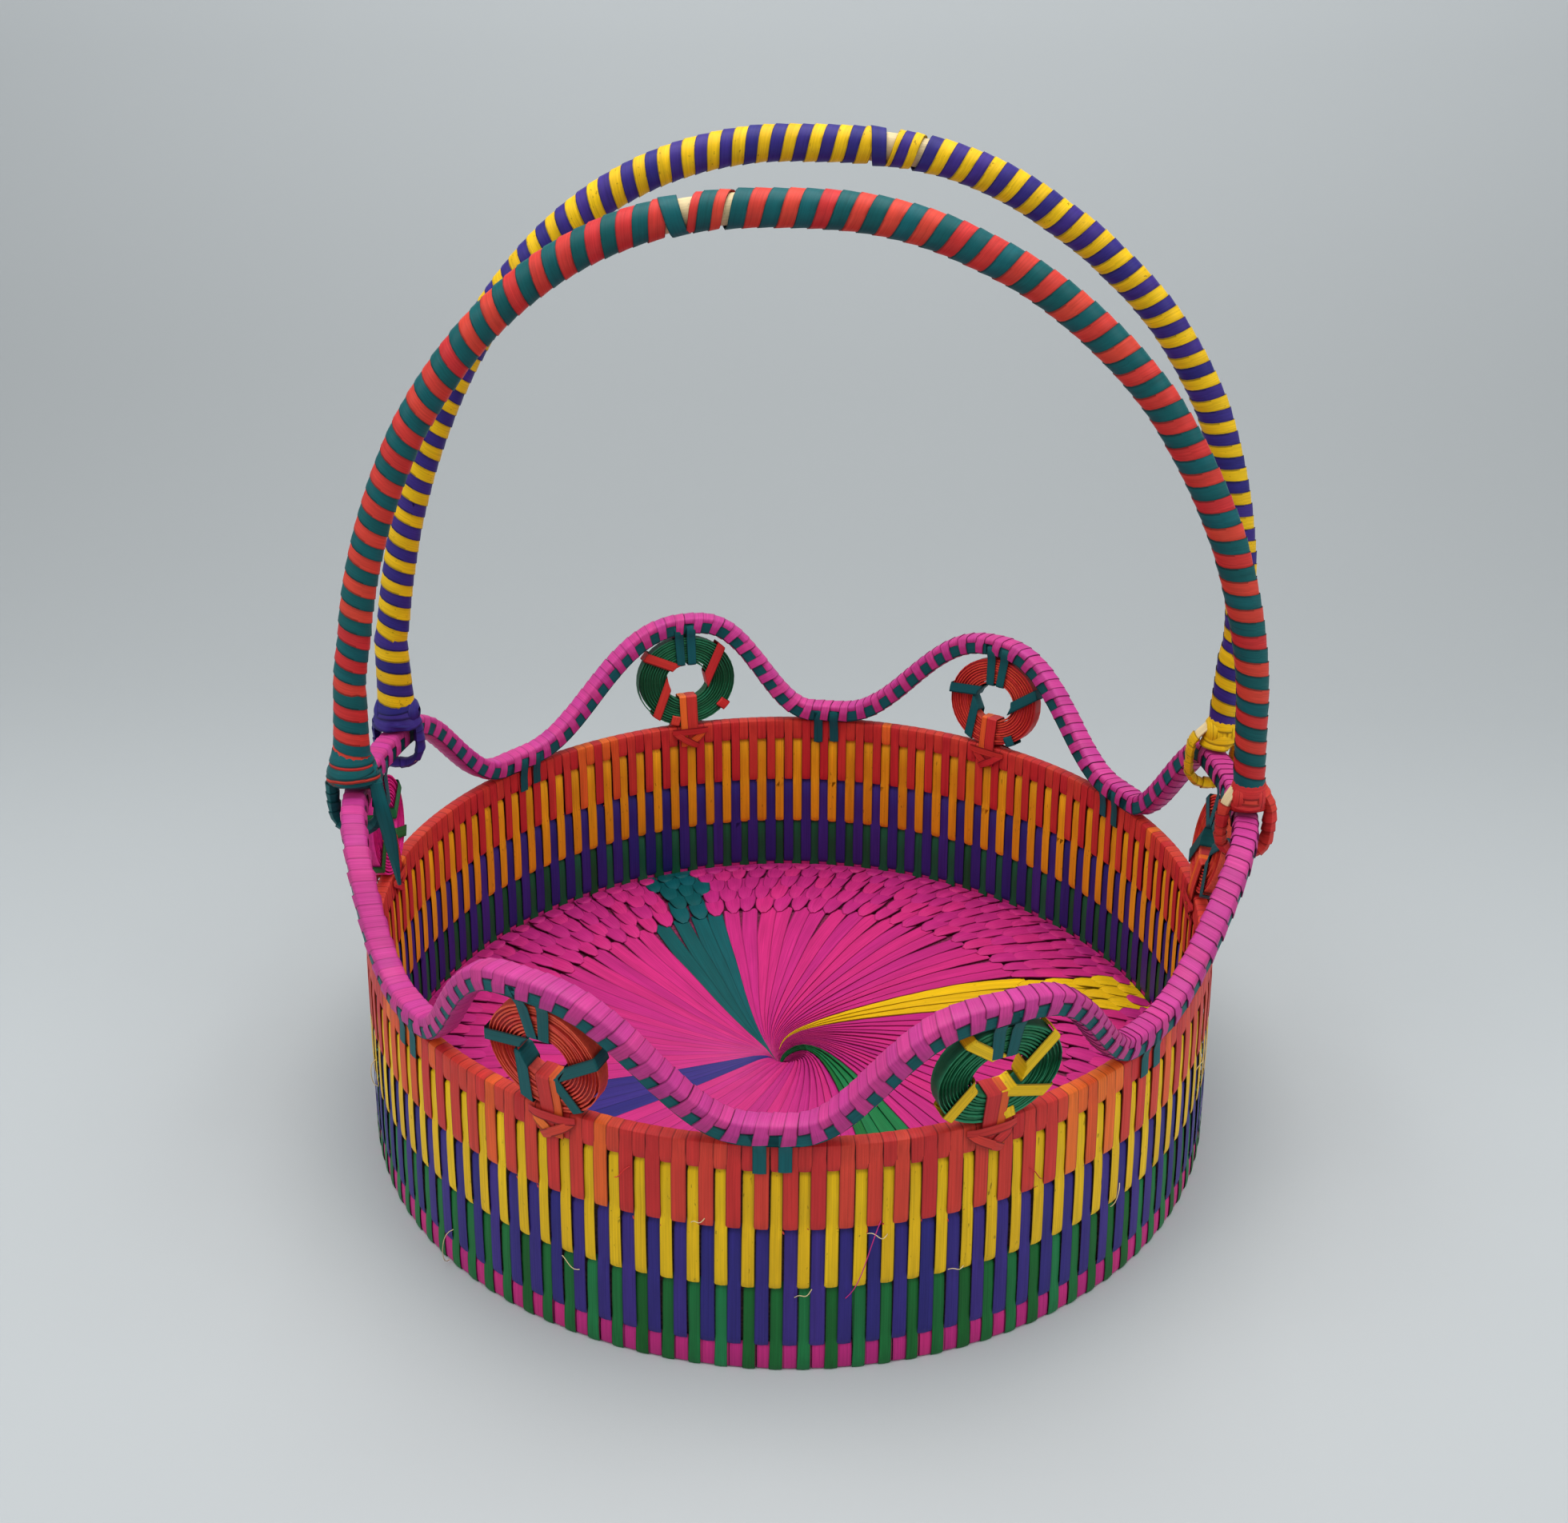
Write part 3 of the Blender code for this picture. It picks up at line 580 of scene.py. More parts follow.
long_wraps = rim_wraps(0.0, LONG_END, True, STITCH_WIDTH["red"])
short_wraps = rim_wraps(0.5, SHORT_END, False, RIM_WRAP_WIDTH)
mixed_piece("rim_wraps", [(long_wraps, len(over_rim(LONG_END, True)) - 1),
                          (short_wraps, len(over_rim(SHORT_END, False)) - 1)],
            ["red", "orange"], "basket", ["rim_hoop"], core=[core_profile(0, inset=WRAP_INSET)])

FOOT_WRAP_WIDTH = 4.1 * MM
UNDERSIDE = 0.25 * MM


def under_foot():
    """A foot wrap's path: inside face down, under, and up the outside. Its normals face outwards."""
    start = HEAD[-1] - 0.6 * MM
    stops = [(start, -0.9 * MM), (start + 1.0 * MM, -0.2 * MM), (start + 2.5 * MM, 0.0),
             (start + 5 * MM, 0.05 * MM), (RIM_TOP - 1.6 * MM, 0.0), (RIM_TOP - 0.9 * MM, -0.2 * MM)]
    inside = [(wall_radius(depth, -1) - lift, RIM_TOP - depth) for depth, lift in stops]
    outside = [(wall_radius(depth, 1) + lift, RIM_TOP - depth) for depth, lift in stops[::-1]]
    under = [(BASE_RADIUS - WALL_THICKNESS + 0.9 * MM, UNDERSIDE),
             (BASE_RADIUS - WALL_THICKNESS / 2, UNDERSIDE), (BASE_RADIUS - 0.9 * MM, UNDERSIDE)]
    return np.array(inside + under + outside)


def foot_wraps():
    made = []
    path = under_foot()
    for column in range(2 * PAIRS):
        widths = np.full(len(path), FOOT_WRAP_WIDTH * rng.uniform(0.92, 1.04))
        drifts = np.full(len(path), rng.uniform(-0.2, 0.2) * MM)
        made.append(wall_strip(column * PITCH / 2, path, widths, drifts, "magenta", rng.random(),
                               crown=0.12 * MM))
    return made


mixed_piece("foot_wraps", [(foot_wraps(), len(under_foot()) - 1)], ["magenta"], "basket", ["base_hoop"],
            core=[core_profile(4, inset=WRAP_INSET)])

# %% [markdown]
# ## The floor
#
# The floor starts as a fan of long strips drawn together and pinched through the middle with a
# twist, so each strip leaves the pinch sideways and straightens out as it goes. Near the wall five
# rows of tongues are stitched over the fan like roof shingles. Four bundles are dyed another colour.

# %% The swirl of the floor
FLOOR_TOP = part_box("floor_disc")[1].z
FLOOR_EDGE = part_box("floor_disc")[1].x - 0.3 * MM
PINCH = np.array([-1.6, -0.6]) * MM
FAN_STRIPS = 80
FAN_OUT = 108 * MM
FAN_WIDTH = 6.7 * MM
# Close to the pinch a strip is as wide as its share of the ring, times this, and a little more
FAN_OVERLAP = 1.25
FAN_LEAST = 0.35 * MM
FAN_CROWN = 0.18 * MM
# How far the pinch draws the fan aside fades over this distance
PINCH_FADE = 30 * MM
# Radii in mm, and how far one edge of each strip lies above the other there, in mm
FAN_TILTS = ((1, 15, 60, 90), (0.3, 0.65, 0.3, 0.12))
# The twist near the pinch, as a share of a full one, for directions in degrees
SWIRL_SHARES = ((-146, 0.0), (-120, 0.4), (-90, 0.7), (-50, 1.0), (0, 0.8), (23, 0.6), (114, 0.55),
                (153, 0.45), (214, 0.0))
SWIRL_FULL = 1000
SWIRL_CORE = 2.0
# The slant further out, in degrees for each millimetre
SLANTS = ((-146, 0.03), (-50, 0.05), (0, 0.12), (23, 0.15), (60, 0.10), (114, 0.02), (214, 0.03))
SEAM = SLANTS[0][0]
# Radii in mm, and the floor's height above its plain level there, in mm
HOLLOW = ((2.2, 3, 4, 6, 8, 12, 20, 45, 150), (-5.6, -4.4, -3.0, -0.8, 0.5, 1.3, 1.1, 0.3, 0.0))


def swirl(direction, radius):
    """The angle of a strip at a radius: its own direction, plus a twist that fades outwards."""
    degrees = (math.degrees(direction) - SEAM) % 360 + SEAM
    twist = np.interp(degrees, *zip(*SWIRL_SHARES)) * SWIRL_FULL
    slant = np.interp(degrees, *zip(*SLANTS))
    reach = radius / MM
    far = FLOOR_EDGE / MM
    turn = twist * (1 / (reach + SWIRL_CORE) - 1 / (far + SWIRL_CORE)) + slant * (far - reach)
    return direction + np.radians(turn)


def floor_height(radius):
    """The floor's height: down into the pinch, a soft hump round it, then level."""
    return FLOOR_TOP + np.interp(radius / MM, *HOLLOW) * MM


# The bundles that aren't pink: colour, direction in degrees, and how broad against the others
ACCENTS = (("teal", 114, 1.0), ("yellow", 18, 0.8), ("green", -65.2, 1.08), ("purple", -155.2, 1.08))
# How far a bundle reaches to each side in degrees: in the fan, in the tongues and in the row at the wall
FAN_REACH = 8.3
TONGUE_REACH = 5.5
WALL_REACH = 2


def accent(degrees, half_width):
    """The colour of a strip or tongue in a direction: four bundles are not pink."""
    for dye, middle, breadth in ACCENTS:
        if abs((degrees - middle + 180) % 360 - 180) < half_width * breadth:
            return dye
    return "magenta"


def fan_strip(direction, radii, dye, shade):
    turns = swirl(direction, radii)
    pitch = 2 * math.pi * radii / FAN_STRIPS
    widths = np.minimum(FAN_WIDTH, pitch * FAN_OVERLAP + FAN_LEAST)
    tilt = np.interp(radii / MM, *FAN_TILTS) * MM
    shift = np.exp(-radii / PINCH_FADE)
    spine = np.stack([radii * np.cos(turns) + PINCH[0] * shift,
                      radii * np.sin(turns) + PINCH[1] * shift], axis=1)
    ahead = np.gradient(spine, axis=0)
    ahead /= np.linalg.norm(ahead, axis=1)[:, None]
    heights = floor_height(radii)

    def place(side, row):
        across = side * widths[row] / 2
        x = spine[row, 0] + ahead[row, 1] * across
        y = spine[row, 1] - ahead[row, 0] * across
        z = heights[row] + tilt[row] * side + FAN_CROWN * (1 - side ** 2)
        return np.stack([x, y, z], axis=1)

    return Strip(place, FAN_WIDTH, float(radii[-1] - radii[0]), dye, shade)


# From the rim inwards: the tips' radius in mm, the tongues in the row
TONGUE_ROWS = ((140.5, 112), (132.5, 108), (123.5, 102), (114.0, 95), (104.5, 87))
TONGUE_WIDTH = 7.6 * MM
TONGUE_LENGTH = 20 * MM
TONGUE_STEPS = 9
TONGUE_CROWN = 0.22 * MM
# Shares of the way to the tip, with the share of the full width and the height in mm there
TONGUE_WIDTHS = ((0, 0.5, 0.8, 0.93, 1), (0.75, 1.0, 0.9, 0.62, 0.28))
TONGUE_LIFTS = ((0, 0.35, 0.75, 0.93, 1), (0.0, 0.55, 1.25, 1.05, 0.55))
# Over 1, the rows of faces lie closer together near the root than near the tip
STEP_POWER = 1.3


def tongue(direction, tip, dye, shade):
    """A stitch that comes out from under the row nearer the wall and lies over the next one."""
    end = min(tip + TONGUE_LENGTH, FLOOR_EDGE)
    share = np.linspace(0, 1, TONGUE_STEPS + 1) ** STEP_POWER
    radii = end + (tip - end) * share
    turns = swirl(direction, radii)
    wide = TONGUE_WIDTH * rng.uniform(0.88, 1.1)
    widths = wide * np.interp(share, *TONGUE_WIDTHS)
    lifts = np.interp(share, *TONGUE_LIFTS) * MM
    spin = rng.uniform(-0.5, 0.5) * MM
    roll = rng.uniform(-0.12, 0.12) * MM

    def place(side, row):
        turn = turns[row] + (side * widths[row] / 2 + spin * (share[row] - 0.5)) / radii[row]
        z = FLOOR_TOP + lifts[row] + roll * side + TONGUE_CROWN * (1 - side ** 2)
        return np.stack([radii[row] * np.cos(turn), radii[row] * np.sin(turn), z], axis=1)

    return Strip(place, wide, float(end - tip), dye, shade)


# The radii of the fan's rows of faces, closest together in the pinch
fan_radii = np.array([2.2, 2.8, 3.6, 4.8, 6.4, 8.2, 10.5, 13.5, 17, 22, 28, 36, 46, 58, 70, 82, 94,
                      FAN_OUT / MM]) * MM
fan = []
for blade in range(FAN_STRIPS):
    direction = 2 * math.pi * (blade + rng.uniform(-0.12, 0.12)) / FAN_STRIPS
    dye = accent(math.degrees(direction), FAN_REACH)
    fan.append(fan_strip(direction, fan_radii, dye, rng.random()))
tongues = []
for depth, (tip, count) in enumerate(TONGUE_ROWS):
    for stitch in range(count):
        direction = 2 * math.pi * (stitch + 0.5 * (depth % 2) + rng.uniform(-0.1, 0.1)) / count
        reach = (tip + rng.uniform(-1.2, 1.2)) * MM
        dye = accent(math.degrees(direction), TONGUE_REACH if depth else WALL_REACH)
        tongues.append(tongue(direction, reach, dye, rng.random()))

# The ribs under the strips, sunk where the pinch goes down: the sunk part's foot and mouth are shares
# of the floor's radius
SUNK_SHARES = (0.03, 0.10)
UNDERSIDE_HEIGHT = 0.4 * MM
floor_core = [(0.0, FLOOR_TOP - 7.2 * MM), (FLOOR_EDGE * SUNK_SHARES[0], FLOOR_TOP - 7.0 * MM),
              (FLOOR_EDGE * SUNK_SHARES[1], FLOOR_TOP - 0.9 * MM), (FLOOR_EDGE, FLOOR_TOP - 0.6 * MM),
              (FLOOR_EDGE, UNDERSIDE_HEIGHT), (0.0, UNDERSIDE_HEIGHT)]
floor_dyes = ["magenta"] + [dye for dye, *_ in ACCENTS]
mixed_piece("woven_floor", [(fan, len(fan_radii) - 1), (tongues, TONGUE_STEPS)], floor_dyes, "basket",
            ["floor_disc"], core=[floor_core], core_dye="floor_shadow")
print("fan strips:", len(fan), "tongues:", len(tongues))

# %% [markdown]
# ## Wrapping a rod
#
# The border, the handles and the eyes are rods wound with strip. A rod keeps its middle line and two
# directions across it, so that a strip can be laid at any distance along it and any angle round it.

# %% A rod to wind strips round
# The way round a rod, for each radian of a strip's turn: it sizes the fibres in the leaf
TURN_LENGTH = 5 * MM


class Rod:
    """A bent rod. At any distance along it: its middle, a direction out and a direction up."""

    def __init__(self, points, out, closed=False):
        points = np.array(points, dtype=float)
        out = np.broadcast_to(np.array(out, dtype=float), points.shape)
        if closed:
            ahead = np.roll(points, -1, axis=0) - np.roll(points, 1, axis=0)
            points, out, ahead = (np.vstack([each, each[:1]]) for each in (points, out, ahead))
        else:
            ahead = np.gradient(points, axis=0)
        ahead = ahead / np.linalg.norm(ahead, axis=1)[:, None]
        out = out - (out * ahead).sum(axis=1)[:, None] * ahead
        out = out / np.linalg.norm(out, axis=1)[:, None]
        steps = np.linalg.norm(np.diff(points, axis=0), axis=1)
        self.stops = np.concatenate([[0], np.cumsum(steps)])
        self.length = float(self.stops[-1])
        self.closed = closed
        self.table = np.hstack([points, out, np.cross(out, ahead)])

    def at(self, distance):
        if self.closed:
            distance = np.mod(distance, self.length)
        spot = np.stack([np.interp(distance, self.stops, column) for column in self.table.T], axis=-1)
        return spot[..., 0:3], spot[..., 3:6], spot[..., 6:9]


def wound(rod, middles, width, turns, reach, dye, shade, tilt=0.0):
    """A strip wound on a rod. Middles and turns (radians) are given row by row.

    Reach is the strip's distance from the middle line, by row or as a function of angle and distance.
    """
    turns = np.asarray(turns, dtype=float)
    middles = np.broadcast_to(middles, turns.shape)
    widths = np.broadcast_to(width, turns.shape)

    def place(side, row):
        along = middles[row] + side * widths[row] / 2
        centre, out, up = rod.at(along)
        turn = turns[row]
        far = reach(turn, along) if callable(reach) else np.broadcast_to(reach, turns.shape)[row]
        far = (far + tilt * side)[:, None]
        return centre + far * (np.cos(turn)[:, None] * out + np.sin(turn)[:, None] * up)

    span = float(np.abs(np.diff(turns)).sum()) * TURN_LENGTH + float(np.abs(np.diff(middles)).sum())
    return Strip(place, float(widths.max()), span, dye, shade)


# %% [markdown]
# ## The wavy border
#
# One squarish rod rises and falls six times round the rim. Pink strip is wound round it turn by turn.
# On each side face a teal strip runs along the rod, over one turn and under the next, which leaves
# the row of small teal windows.

# %% The border's middle line
GAP = 0.3 * MM
RIM_MIDDLE = RIM_RADIUS - WALL_THICKNESS / 2
BORDER_HALF = 3.95 * MM
BORDER_ROD = 8.0 * MM
BORDER_SEAT = RIM_TOP + GAP + BORDER_ROD / 2
CREST_HEIGHT = 38.0 * MM
CREST_FLARE = 6.0 * MM
VALLEYS = {"back_right": 28.5, "back": 86.5, "back_left": 143.2, "front_left": 219.5, "front": 271.0,
           "front_right": 321.0}
VALLEY_LEVEL = 5.65 * MM
# Each crest: angle in degrees, share of the height, share of the flare, and how full the flank
# before it and the one after it are
CREST_SHARES = (
    (58.0, 1.02, 1.00, 1.0, 1.2), (109.9, 1.06, 1.00, 1.4, 1.0), (166.5, 1.00, 0.40, 1.0, 1.0),
    (191.0, 1.00, 0.45, 1.0, 1.0), (243.2, 1.06, 1.05, 1.3, 1.4), (296.5, 0.99, 1.05, 1.7, 1.4),
    (349.0, 1.00, 1.40, 1.0, 1.0), (371.6, 1.00, 1.15, 1.0, 1.0),
)


def border_knots():
    """The wave's knots in order, two level ones at each valley, and the first one again at the end."""
    level = math.degrees(VALLEY_LEVEL / RIM_MIDDLE)
    knots = [(angle + side, 0, 0, 1, 1) for angle in VALLEYS.values() for side in (-level, level)]
    knots = sorted(knots + list(CREST_SHARES))
    return knots + [(knots[0][0] + 360, *knots[0][1:])]


def ease(share):
    """A rise from 0 to 1 that stays level a little at both ends."""
    wave = (1 - math.cos(math.pi * share)) / 2
    level = share ** 3 * (10 - 15 * share + 6 * share ** 2)
    return (wave + level) / 2


def border_point(degrees):
    """The middle of the border's rod in a direction."""
    knots = border_knots()
    degrees = (degrees - knots[0][0]) % 360 + knots[0][0]
    for start, end in zip(knots, knots[1:]):
        if start[0] <= degrees <= end[0]:
            eased = ease((degrees - start[0]) / (end[0] - start[0]))
            if end[1] > start[1]:
                eased = 1 - (1 - eased) ** end[3]
            else:
                eased = eased ** start[4]
            rise = start[1] + (end[1] - start[1]) * eased
            flare = start[2] + (end[2] - start[2]) * eased
            radius = RIM_MIDDLE + CREST_FLARE * flare
            turn = math.radians(degrees)
            return Vector((radius * math.cos(turn), radius * math.sin(turn),
                           BORDER_SEAT + CREST_HEIGHT * rise))


BORDER_POINTS = 720
bends = [360 * step / BORDER_POINTS for step in range(BORDER_POINTS)]
border = Rod([border_point(bend) for bend in bends],
             [(math.cos(math.radians(bend)), math.sin(math.radians(bend)), 0) for bend in bends],
             closed=True)
print("the border's rod in mm:", round(border.length / MM))

# %% The border's strips
SQUARENESS = 4.5
BAND_LOW = -2.9 * MM
# The bands' upper edge on the outside (1) and the inside (-1)
BAND_HIGH = {1: 0.8 * MM, -1: 1.5 * MM}
BAND_EDGE = 0.6 * MM
OVER, UNDER = 0.40 * MM, -0.50 * MM
NARROWED = 0.86
SPREAD_OUTSIDE = 1.04
BORDER_TILT = -0.16 * MM
BORDER_DYES = ["orchid", "teal", "shadow"]
BORDER_PITCH = 4.05 * MM
BORDER_STRIP = 4.15 * MM
# The angles of a wrap's rows of faces: close together at the rod's four edges and at the bands
BORDER_TURNS = np.radians([-90, -51, -43, -34, -8, 6, 17, 38, 45, 54, 90, 126, 135, 142, 156, 167, 188,
                           214, 223, 231, 270])
BAND_LENGTHS = 24
BAND_ROWS = 24
BAND_OVERLAP = 1.02
BAND_DEPTH = 0.06 * MM
CORE_INSET = 1.0 * MM
CORE_STEPS = 320
CORE_SIDES = 16
CORE_GIRTH = 25 * MM


def square_reach(turn, half=BORDER_HALF):
    """A square with rounded corners: the distance from its middle by angle."""
    across, up = (np.abs(side) ** SQUARENESS for side in (np.cos(turn), np.sin(turn)))
    return half * (across + up) ** (-1 / SQUARENESS)


def band_share(turn):
    """How far a place on the rod lies within the band on its side faces, from 0 to 1."""
    height = square_reach(turn) * np.sin(turn)
    rise = np.clip((height - BAND_LOW) / BAND_EDGE + 0.5, 0, 1)
    top = np.where(np.cos(turn) > 0, BAND_HIGH[1], BAND_HIGH[-1])
    fall = np.clip((top - height) / BAND_EDGE + 0.5, 0, 1)
    return np.minimum(rise, fall)


def border_wraps():
    """The pink turns: every second one goes over the teal bands and the others go under them."""
    made = []
    count = 2 * round(border.length / BORDER_PITCH / 2)
    pitch = border.length / count
    advance = pitch * (BORDER_TURNS - math.pi / 2) / (2 * math.pi)
    in_band = band_share(BORDER_TURNS)
    outside = np.cos(BORDER_TURNS) > 0
    for step in range(count):
        swell = rng.uniform(-0.05, 0.1) * MM
        level = OVER if step % 2 else UNDER
        reach = square_reach(BORDER_TURNS) + swell + level * in_band
        slide = rng.uniform(-0.2, 0.2) * MM
        spread = np.where(outside & (step % 2 == 1), SPREAD_OUTSIDE, NARROWED)
        wide = BORDER_STRIP * rng.uniform(0.97, 1.06) * (1 + (spread - 1) * in_band)
        made.append(wound(border, step * pitch + advance + slide, wide, BORDER_TURNS, reach, "orchid",
                          rng.random(), tilt=BORDER_TILT))
    return made


def side_bands():
    """The teal strip on each side face, in lengths."""
    made = []
    for face in (1, -1):
        wide = BAND_HIGH[face] - BAND_LOW
        middle = (BAND_LOW + BAND_HIGH[face]) / 2
        for part in range(BAND_LENGTHS):
            along = np.linspace(part, part + BAND_OVERLAP, BAND_ROWS + 1) * border.length / BAND_LENGTHS
            if face < 0:
                along = along[::-1]

            def place(side, row, along=along, face=face, wide=wide, middle=middle):
                centre, out, up = border.at(along[row])
                height = middle - side * face * wide / 2
                return centre + out * face * (BORDER_HALF - BAND_DEPTH) + up * height[:, None]

            made.append(Strip(place, wide, border.length / BAND_LENGTHS, "teal", rng.random()))
    return made


def tube_strip(rod, stops, girth, reach, dye, shade=0.5):
    """A whole tube as one wide strip, closed round the rod."""
    def place(side, row):
        centre, out, up = rod.at(stops[row])
        turn = (side + 1) * math.pi
        far = (reach(turn) if callable(reach) else np.full(turn.shape, reach))[:, None]
        return centre + far * (np.sin(turn)[:, None] * up - np.cos(turn)[:, None] * out)

    return Strip(place, girth, float(stops[-1] - stops[0]), dye, shade)


def core_reach(turn):
    return square_reach(turn, BORDER_HALF - CORE_INSET)


bm = new_bmesh()
lay(bm, border_wraps(), len(BORDER_TURNS) - 1, BORDER_DYES, across=1)
lay(bm, side_bands(), BAND_ROWS, BORDER_DYES, across=1)
bmesh.ops.solidify(bm, geom=bm.faces[:], thickness=LEAF_THICKNESS)
core_stops = np.linspace(0, 1, CORE_STEPS + 1) * border.length
border_core = tube_strip(border, core_stops, CORE_GIRTH, core_reach, "shadow")
lay(bm, [border_core], CORE_STEPS, BORDER_DYES, across=CORE_SIDES)
finish_piece("wavy_border_wraps", bm, BORDER_DYES, "basket", ["wavy_border"], thickness=0)

# %% [markdown]
# Each valley of the border is lashed to the rim by two teal straps, which come out from under the
# pink turns on both faces and go down to the lower edge of the rim.

# %% Straps at the valleys
STRAP_WIDTH = 4.0 * MM
STRAP_SPACING = 7.3 * MM
STRAP_TAPER = 0.5
# Where the straps aren't in the middle of the level part
STRAPS_AT = {"back_left": 141.0, "back_right": 31.0}


def face_path(face, foot):
    """A strap's path on one face, from the rod's side face down to the rim's foot: (radius, height)."""
    rod_face = RIM_MIDDLE + face * (BORDER_HALF - 0.02 * MM)
    seat = BORDER_SEAT
    top = BAND_HIGH[face]
    points = [(rod_face - face * 0.5 * MM, seat + top + 0.3 * MM), (rod_face, seat + top - 0.4 * MM),
              (rod_face, seat - 2.4 * MM), (rod_face - face * 0.25 * MM, seat - 3.6 * MM)]
    # Each stop on the rim: a depth below its top, how far the strap lies off its face, and the height
    for depth, lift, height in ((0, 0.8 * MM, seat - 5.6 * MM), (3 * MM, 0.75 * MM, RIM_TOP - 3 * MM),
                                (6 * MM, 0.85 * MM, RIM_TOP - 6 * MM),
                                (foot, 0.85 * MM, RIM_TOP - foot + 0.8 * MM),
                                (foot, -0.3 * MM, RIM_TOP - foot)):
        points.append((wall_radius(depth, face) + face * lift, height))
    return np.array(points if face < 0 else points[::-1])


for name, degrees in VALLEYS.items():
    straps = []
    for side in (-1, 1):
        for face in (1, -1):
            foot = (9.0 + rng.uniform(-0.8, 1.2)) * MM
            path = face_path(face, foot)
            width = np.full(len(path), STRAP_WIDTH)
            width[0 if face > 0 else -1] *= STRAP_TAPER
            drift = np.linspace(0, rng.uniform(-0.6, 0.6) * MM, len(path))[::face]
            drift = drift + side * STRAP_SPACING / 2
            angle = math.radians(STRAPS_AT.get(name, degrees))
            straps.append(wall_strip(angle, path, width, drift, "teal", rng.random()))
    bm = new_bmesh()
    lay(bm, straps, len(path) - 1, ["teal"])
    finish_piece("valley_straps_" + name, bm, ["teal"], "basket", ["border_tie_" + name])

# %% [markdown]
# ## The medallions
#
# Under each crest hangs a flat coil of strip wound on edge. The turns are never quite level, and
# their edges are painted lighter, a painted highlight where they would catch the light. A few flat
# bindings run over the turns, from the outer edge to the hole and back behind. Where a binding runs
# slantwise, its ends follow the two round edges.

# %% Coils
COIL_SEAT = 0.5 * MM
COIL_DEPTH = 5.0 * MM
COIL_PITCH = 1.06 * MM
# How far the turns stray in depth and in the coil's plane, and how often in a turn
COIL_STRAY = 0.40 * MM
COIL_SWAY = 0.10 * MM
STRAYS = 5
FILLING_INSET = 1.35 * MM
FILLING_BACK = 0.75 * MM
COIL_STRIP = 0.68 * MM
TURN_STEPS = 36
BINDING_WIDTH = 4.0 * MM
BINDING_REACH = COIL_DEPTH / 2 + 0.62 * MM
BINDING_FOLD = 0.35 * MM
BINDING_LENGTH = 40 * MM
STUB_LENGTH = 4.2 * MM
# Each colour of coil: its dye, the spread of its shades, and how much lighter the turns' edges are
# painted, as a painted highlight
COIL_DYES = {"green": ((0.010, 0.108, 0.046), 0.25, 1.7), "red": ((0.52, 0.050, 0.030), 0.10, 1.35),
             "pink": ((0.60, 0.020, 0.215), 0.10, 1.3)}
for colour, (dye, spread, painted_edge_highlight) in COIL_DYES.items():
    DYES["coil_" + colour] = leaf_material(colour + "_coil", dye, shade_spread=spread, edge=(0.5, painted_edge_highlight))


class Coil:
    """Where a medallion hangs, in the plane of its crest's lean, as in the measured model."""

    def __init__(self, angle, width_share, hole):
        crest = border_point(angle)
        out = math.hypot(crest.x, crest.y) - RIM_MIDDLE
        up = crest.z - RIM_TOP
        self.angle = angle
        self.lean = math.atan2(out, up)
        self.foot = COIL_SEAT + COIL_DEPTH / 2 * math.sin(abs(self.lean))
        self.half_height = (math.hypot(out, up) - BORDER_ROD / 2 - COIL_SEAT - self.foot) / 2
        self.half_width = self.half_height * width_share
        self.squash = 1 / width_share
        self.hole = hole * MM

    def point(self, y, z):
        """A place in the coil's plane, y outwards and z up from its middle, as (radius, height)."""
        raised = z + self.foot + self.half_height
        return (RIM_MIDDLE + y * math.cos(self.lean) + raised * math.sin(self.lean),
                RIM_TOP - y * math.sin(self.lean) + raised * math.cos(self.lean))

    def place(self, x, y, z):
        """Places given by arrays: x along the rim and clockwise, y outwards and z up."""
        turn = math.radians(self.angle)
        radius, height = self.point(y, z)
        return np.stack([x * math.sin(turn) + radius * math.cos(turn),
                         -x * math.cos(turn) + radius * math.sin(turn), height + 0 * x], axis=-1)


def strayed(share, knots, low, high):
    """A value that strays between two levels, given at even places along the strip."""
    return np.interp(share, np.linspace(0, 1, knots), [rng.uniform(low, high) for _ in range(knots)])


def coil_turns(coil, dye):
    """The wound strip. Each turn stands at its own depth, which drifts as the strip goes round."""
    inner, outer = coil.hole + COIL_STRIP / 2, coil.half_width - COIL_STRIP / 2
    turns = int((outer - inner) / COIL_PITCH)
    steps = turns * TURN_STEPS
    share = np.arange(steps + 1) / steps
    angle = -math.pi / 2 + 2 * math.pi * np.arange(steps + 1) / TURN_STEPS
    knots = turns * STRAYS + 1
    lifts = strayed(share, knots, -COIL_STRAY, COIL_STRAY)
    sways = strayed(share, knots, -COIL_SWAY, COIL_SWAY)
    shades = strayed(share, 2 * turns + 1, 0, 1)
    reach = inner + (outer - inner) * share + sways

    def place(side, row):
        x = reach[row] * np.cos(angle[row])
        z = reach[row] * coil.squash * np.sin(angle[row])
        return coil.place(x, side * COIL_DEPTH / 2 + lifts[row], z)

    return Strip(place, COIL_DEPTH, turns * 2 * math.pi * (inner + outer) / 2, dye, shades), steps


def coil_filling(bm, coil):
    """A plain ring inside the turns, so that no light comes through between them."""
    verts, faces = len(bm.verts), len(bm.faces)
    near, far = coil.hole + FILLING_INSET, coil.half_width - FILLING_INSET
    half = COIL_DEPTH / 2 - FILLING_BACK
    ring_core(bm, [(near, -half), (near, half), (far, half), (far, -half)], steps=2 * TURN_STEPS)
    bm.verts.ensure_lookup_table()
    bm.faces.ensure_lookup_table()
    for vert in bm.verts[verts:]:
        x, z, depth = vert.co
        vert.co = coil.place(x, depth, z * coil.squash)
    bmesh.ops.recalc_face_normals(bm, faces=bm.faces[faces:])


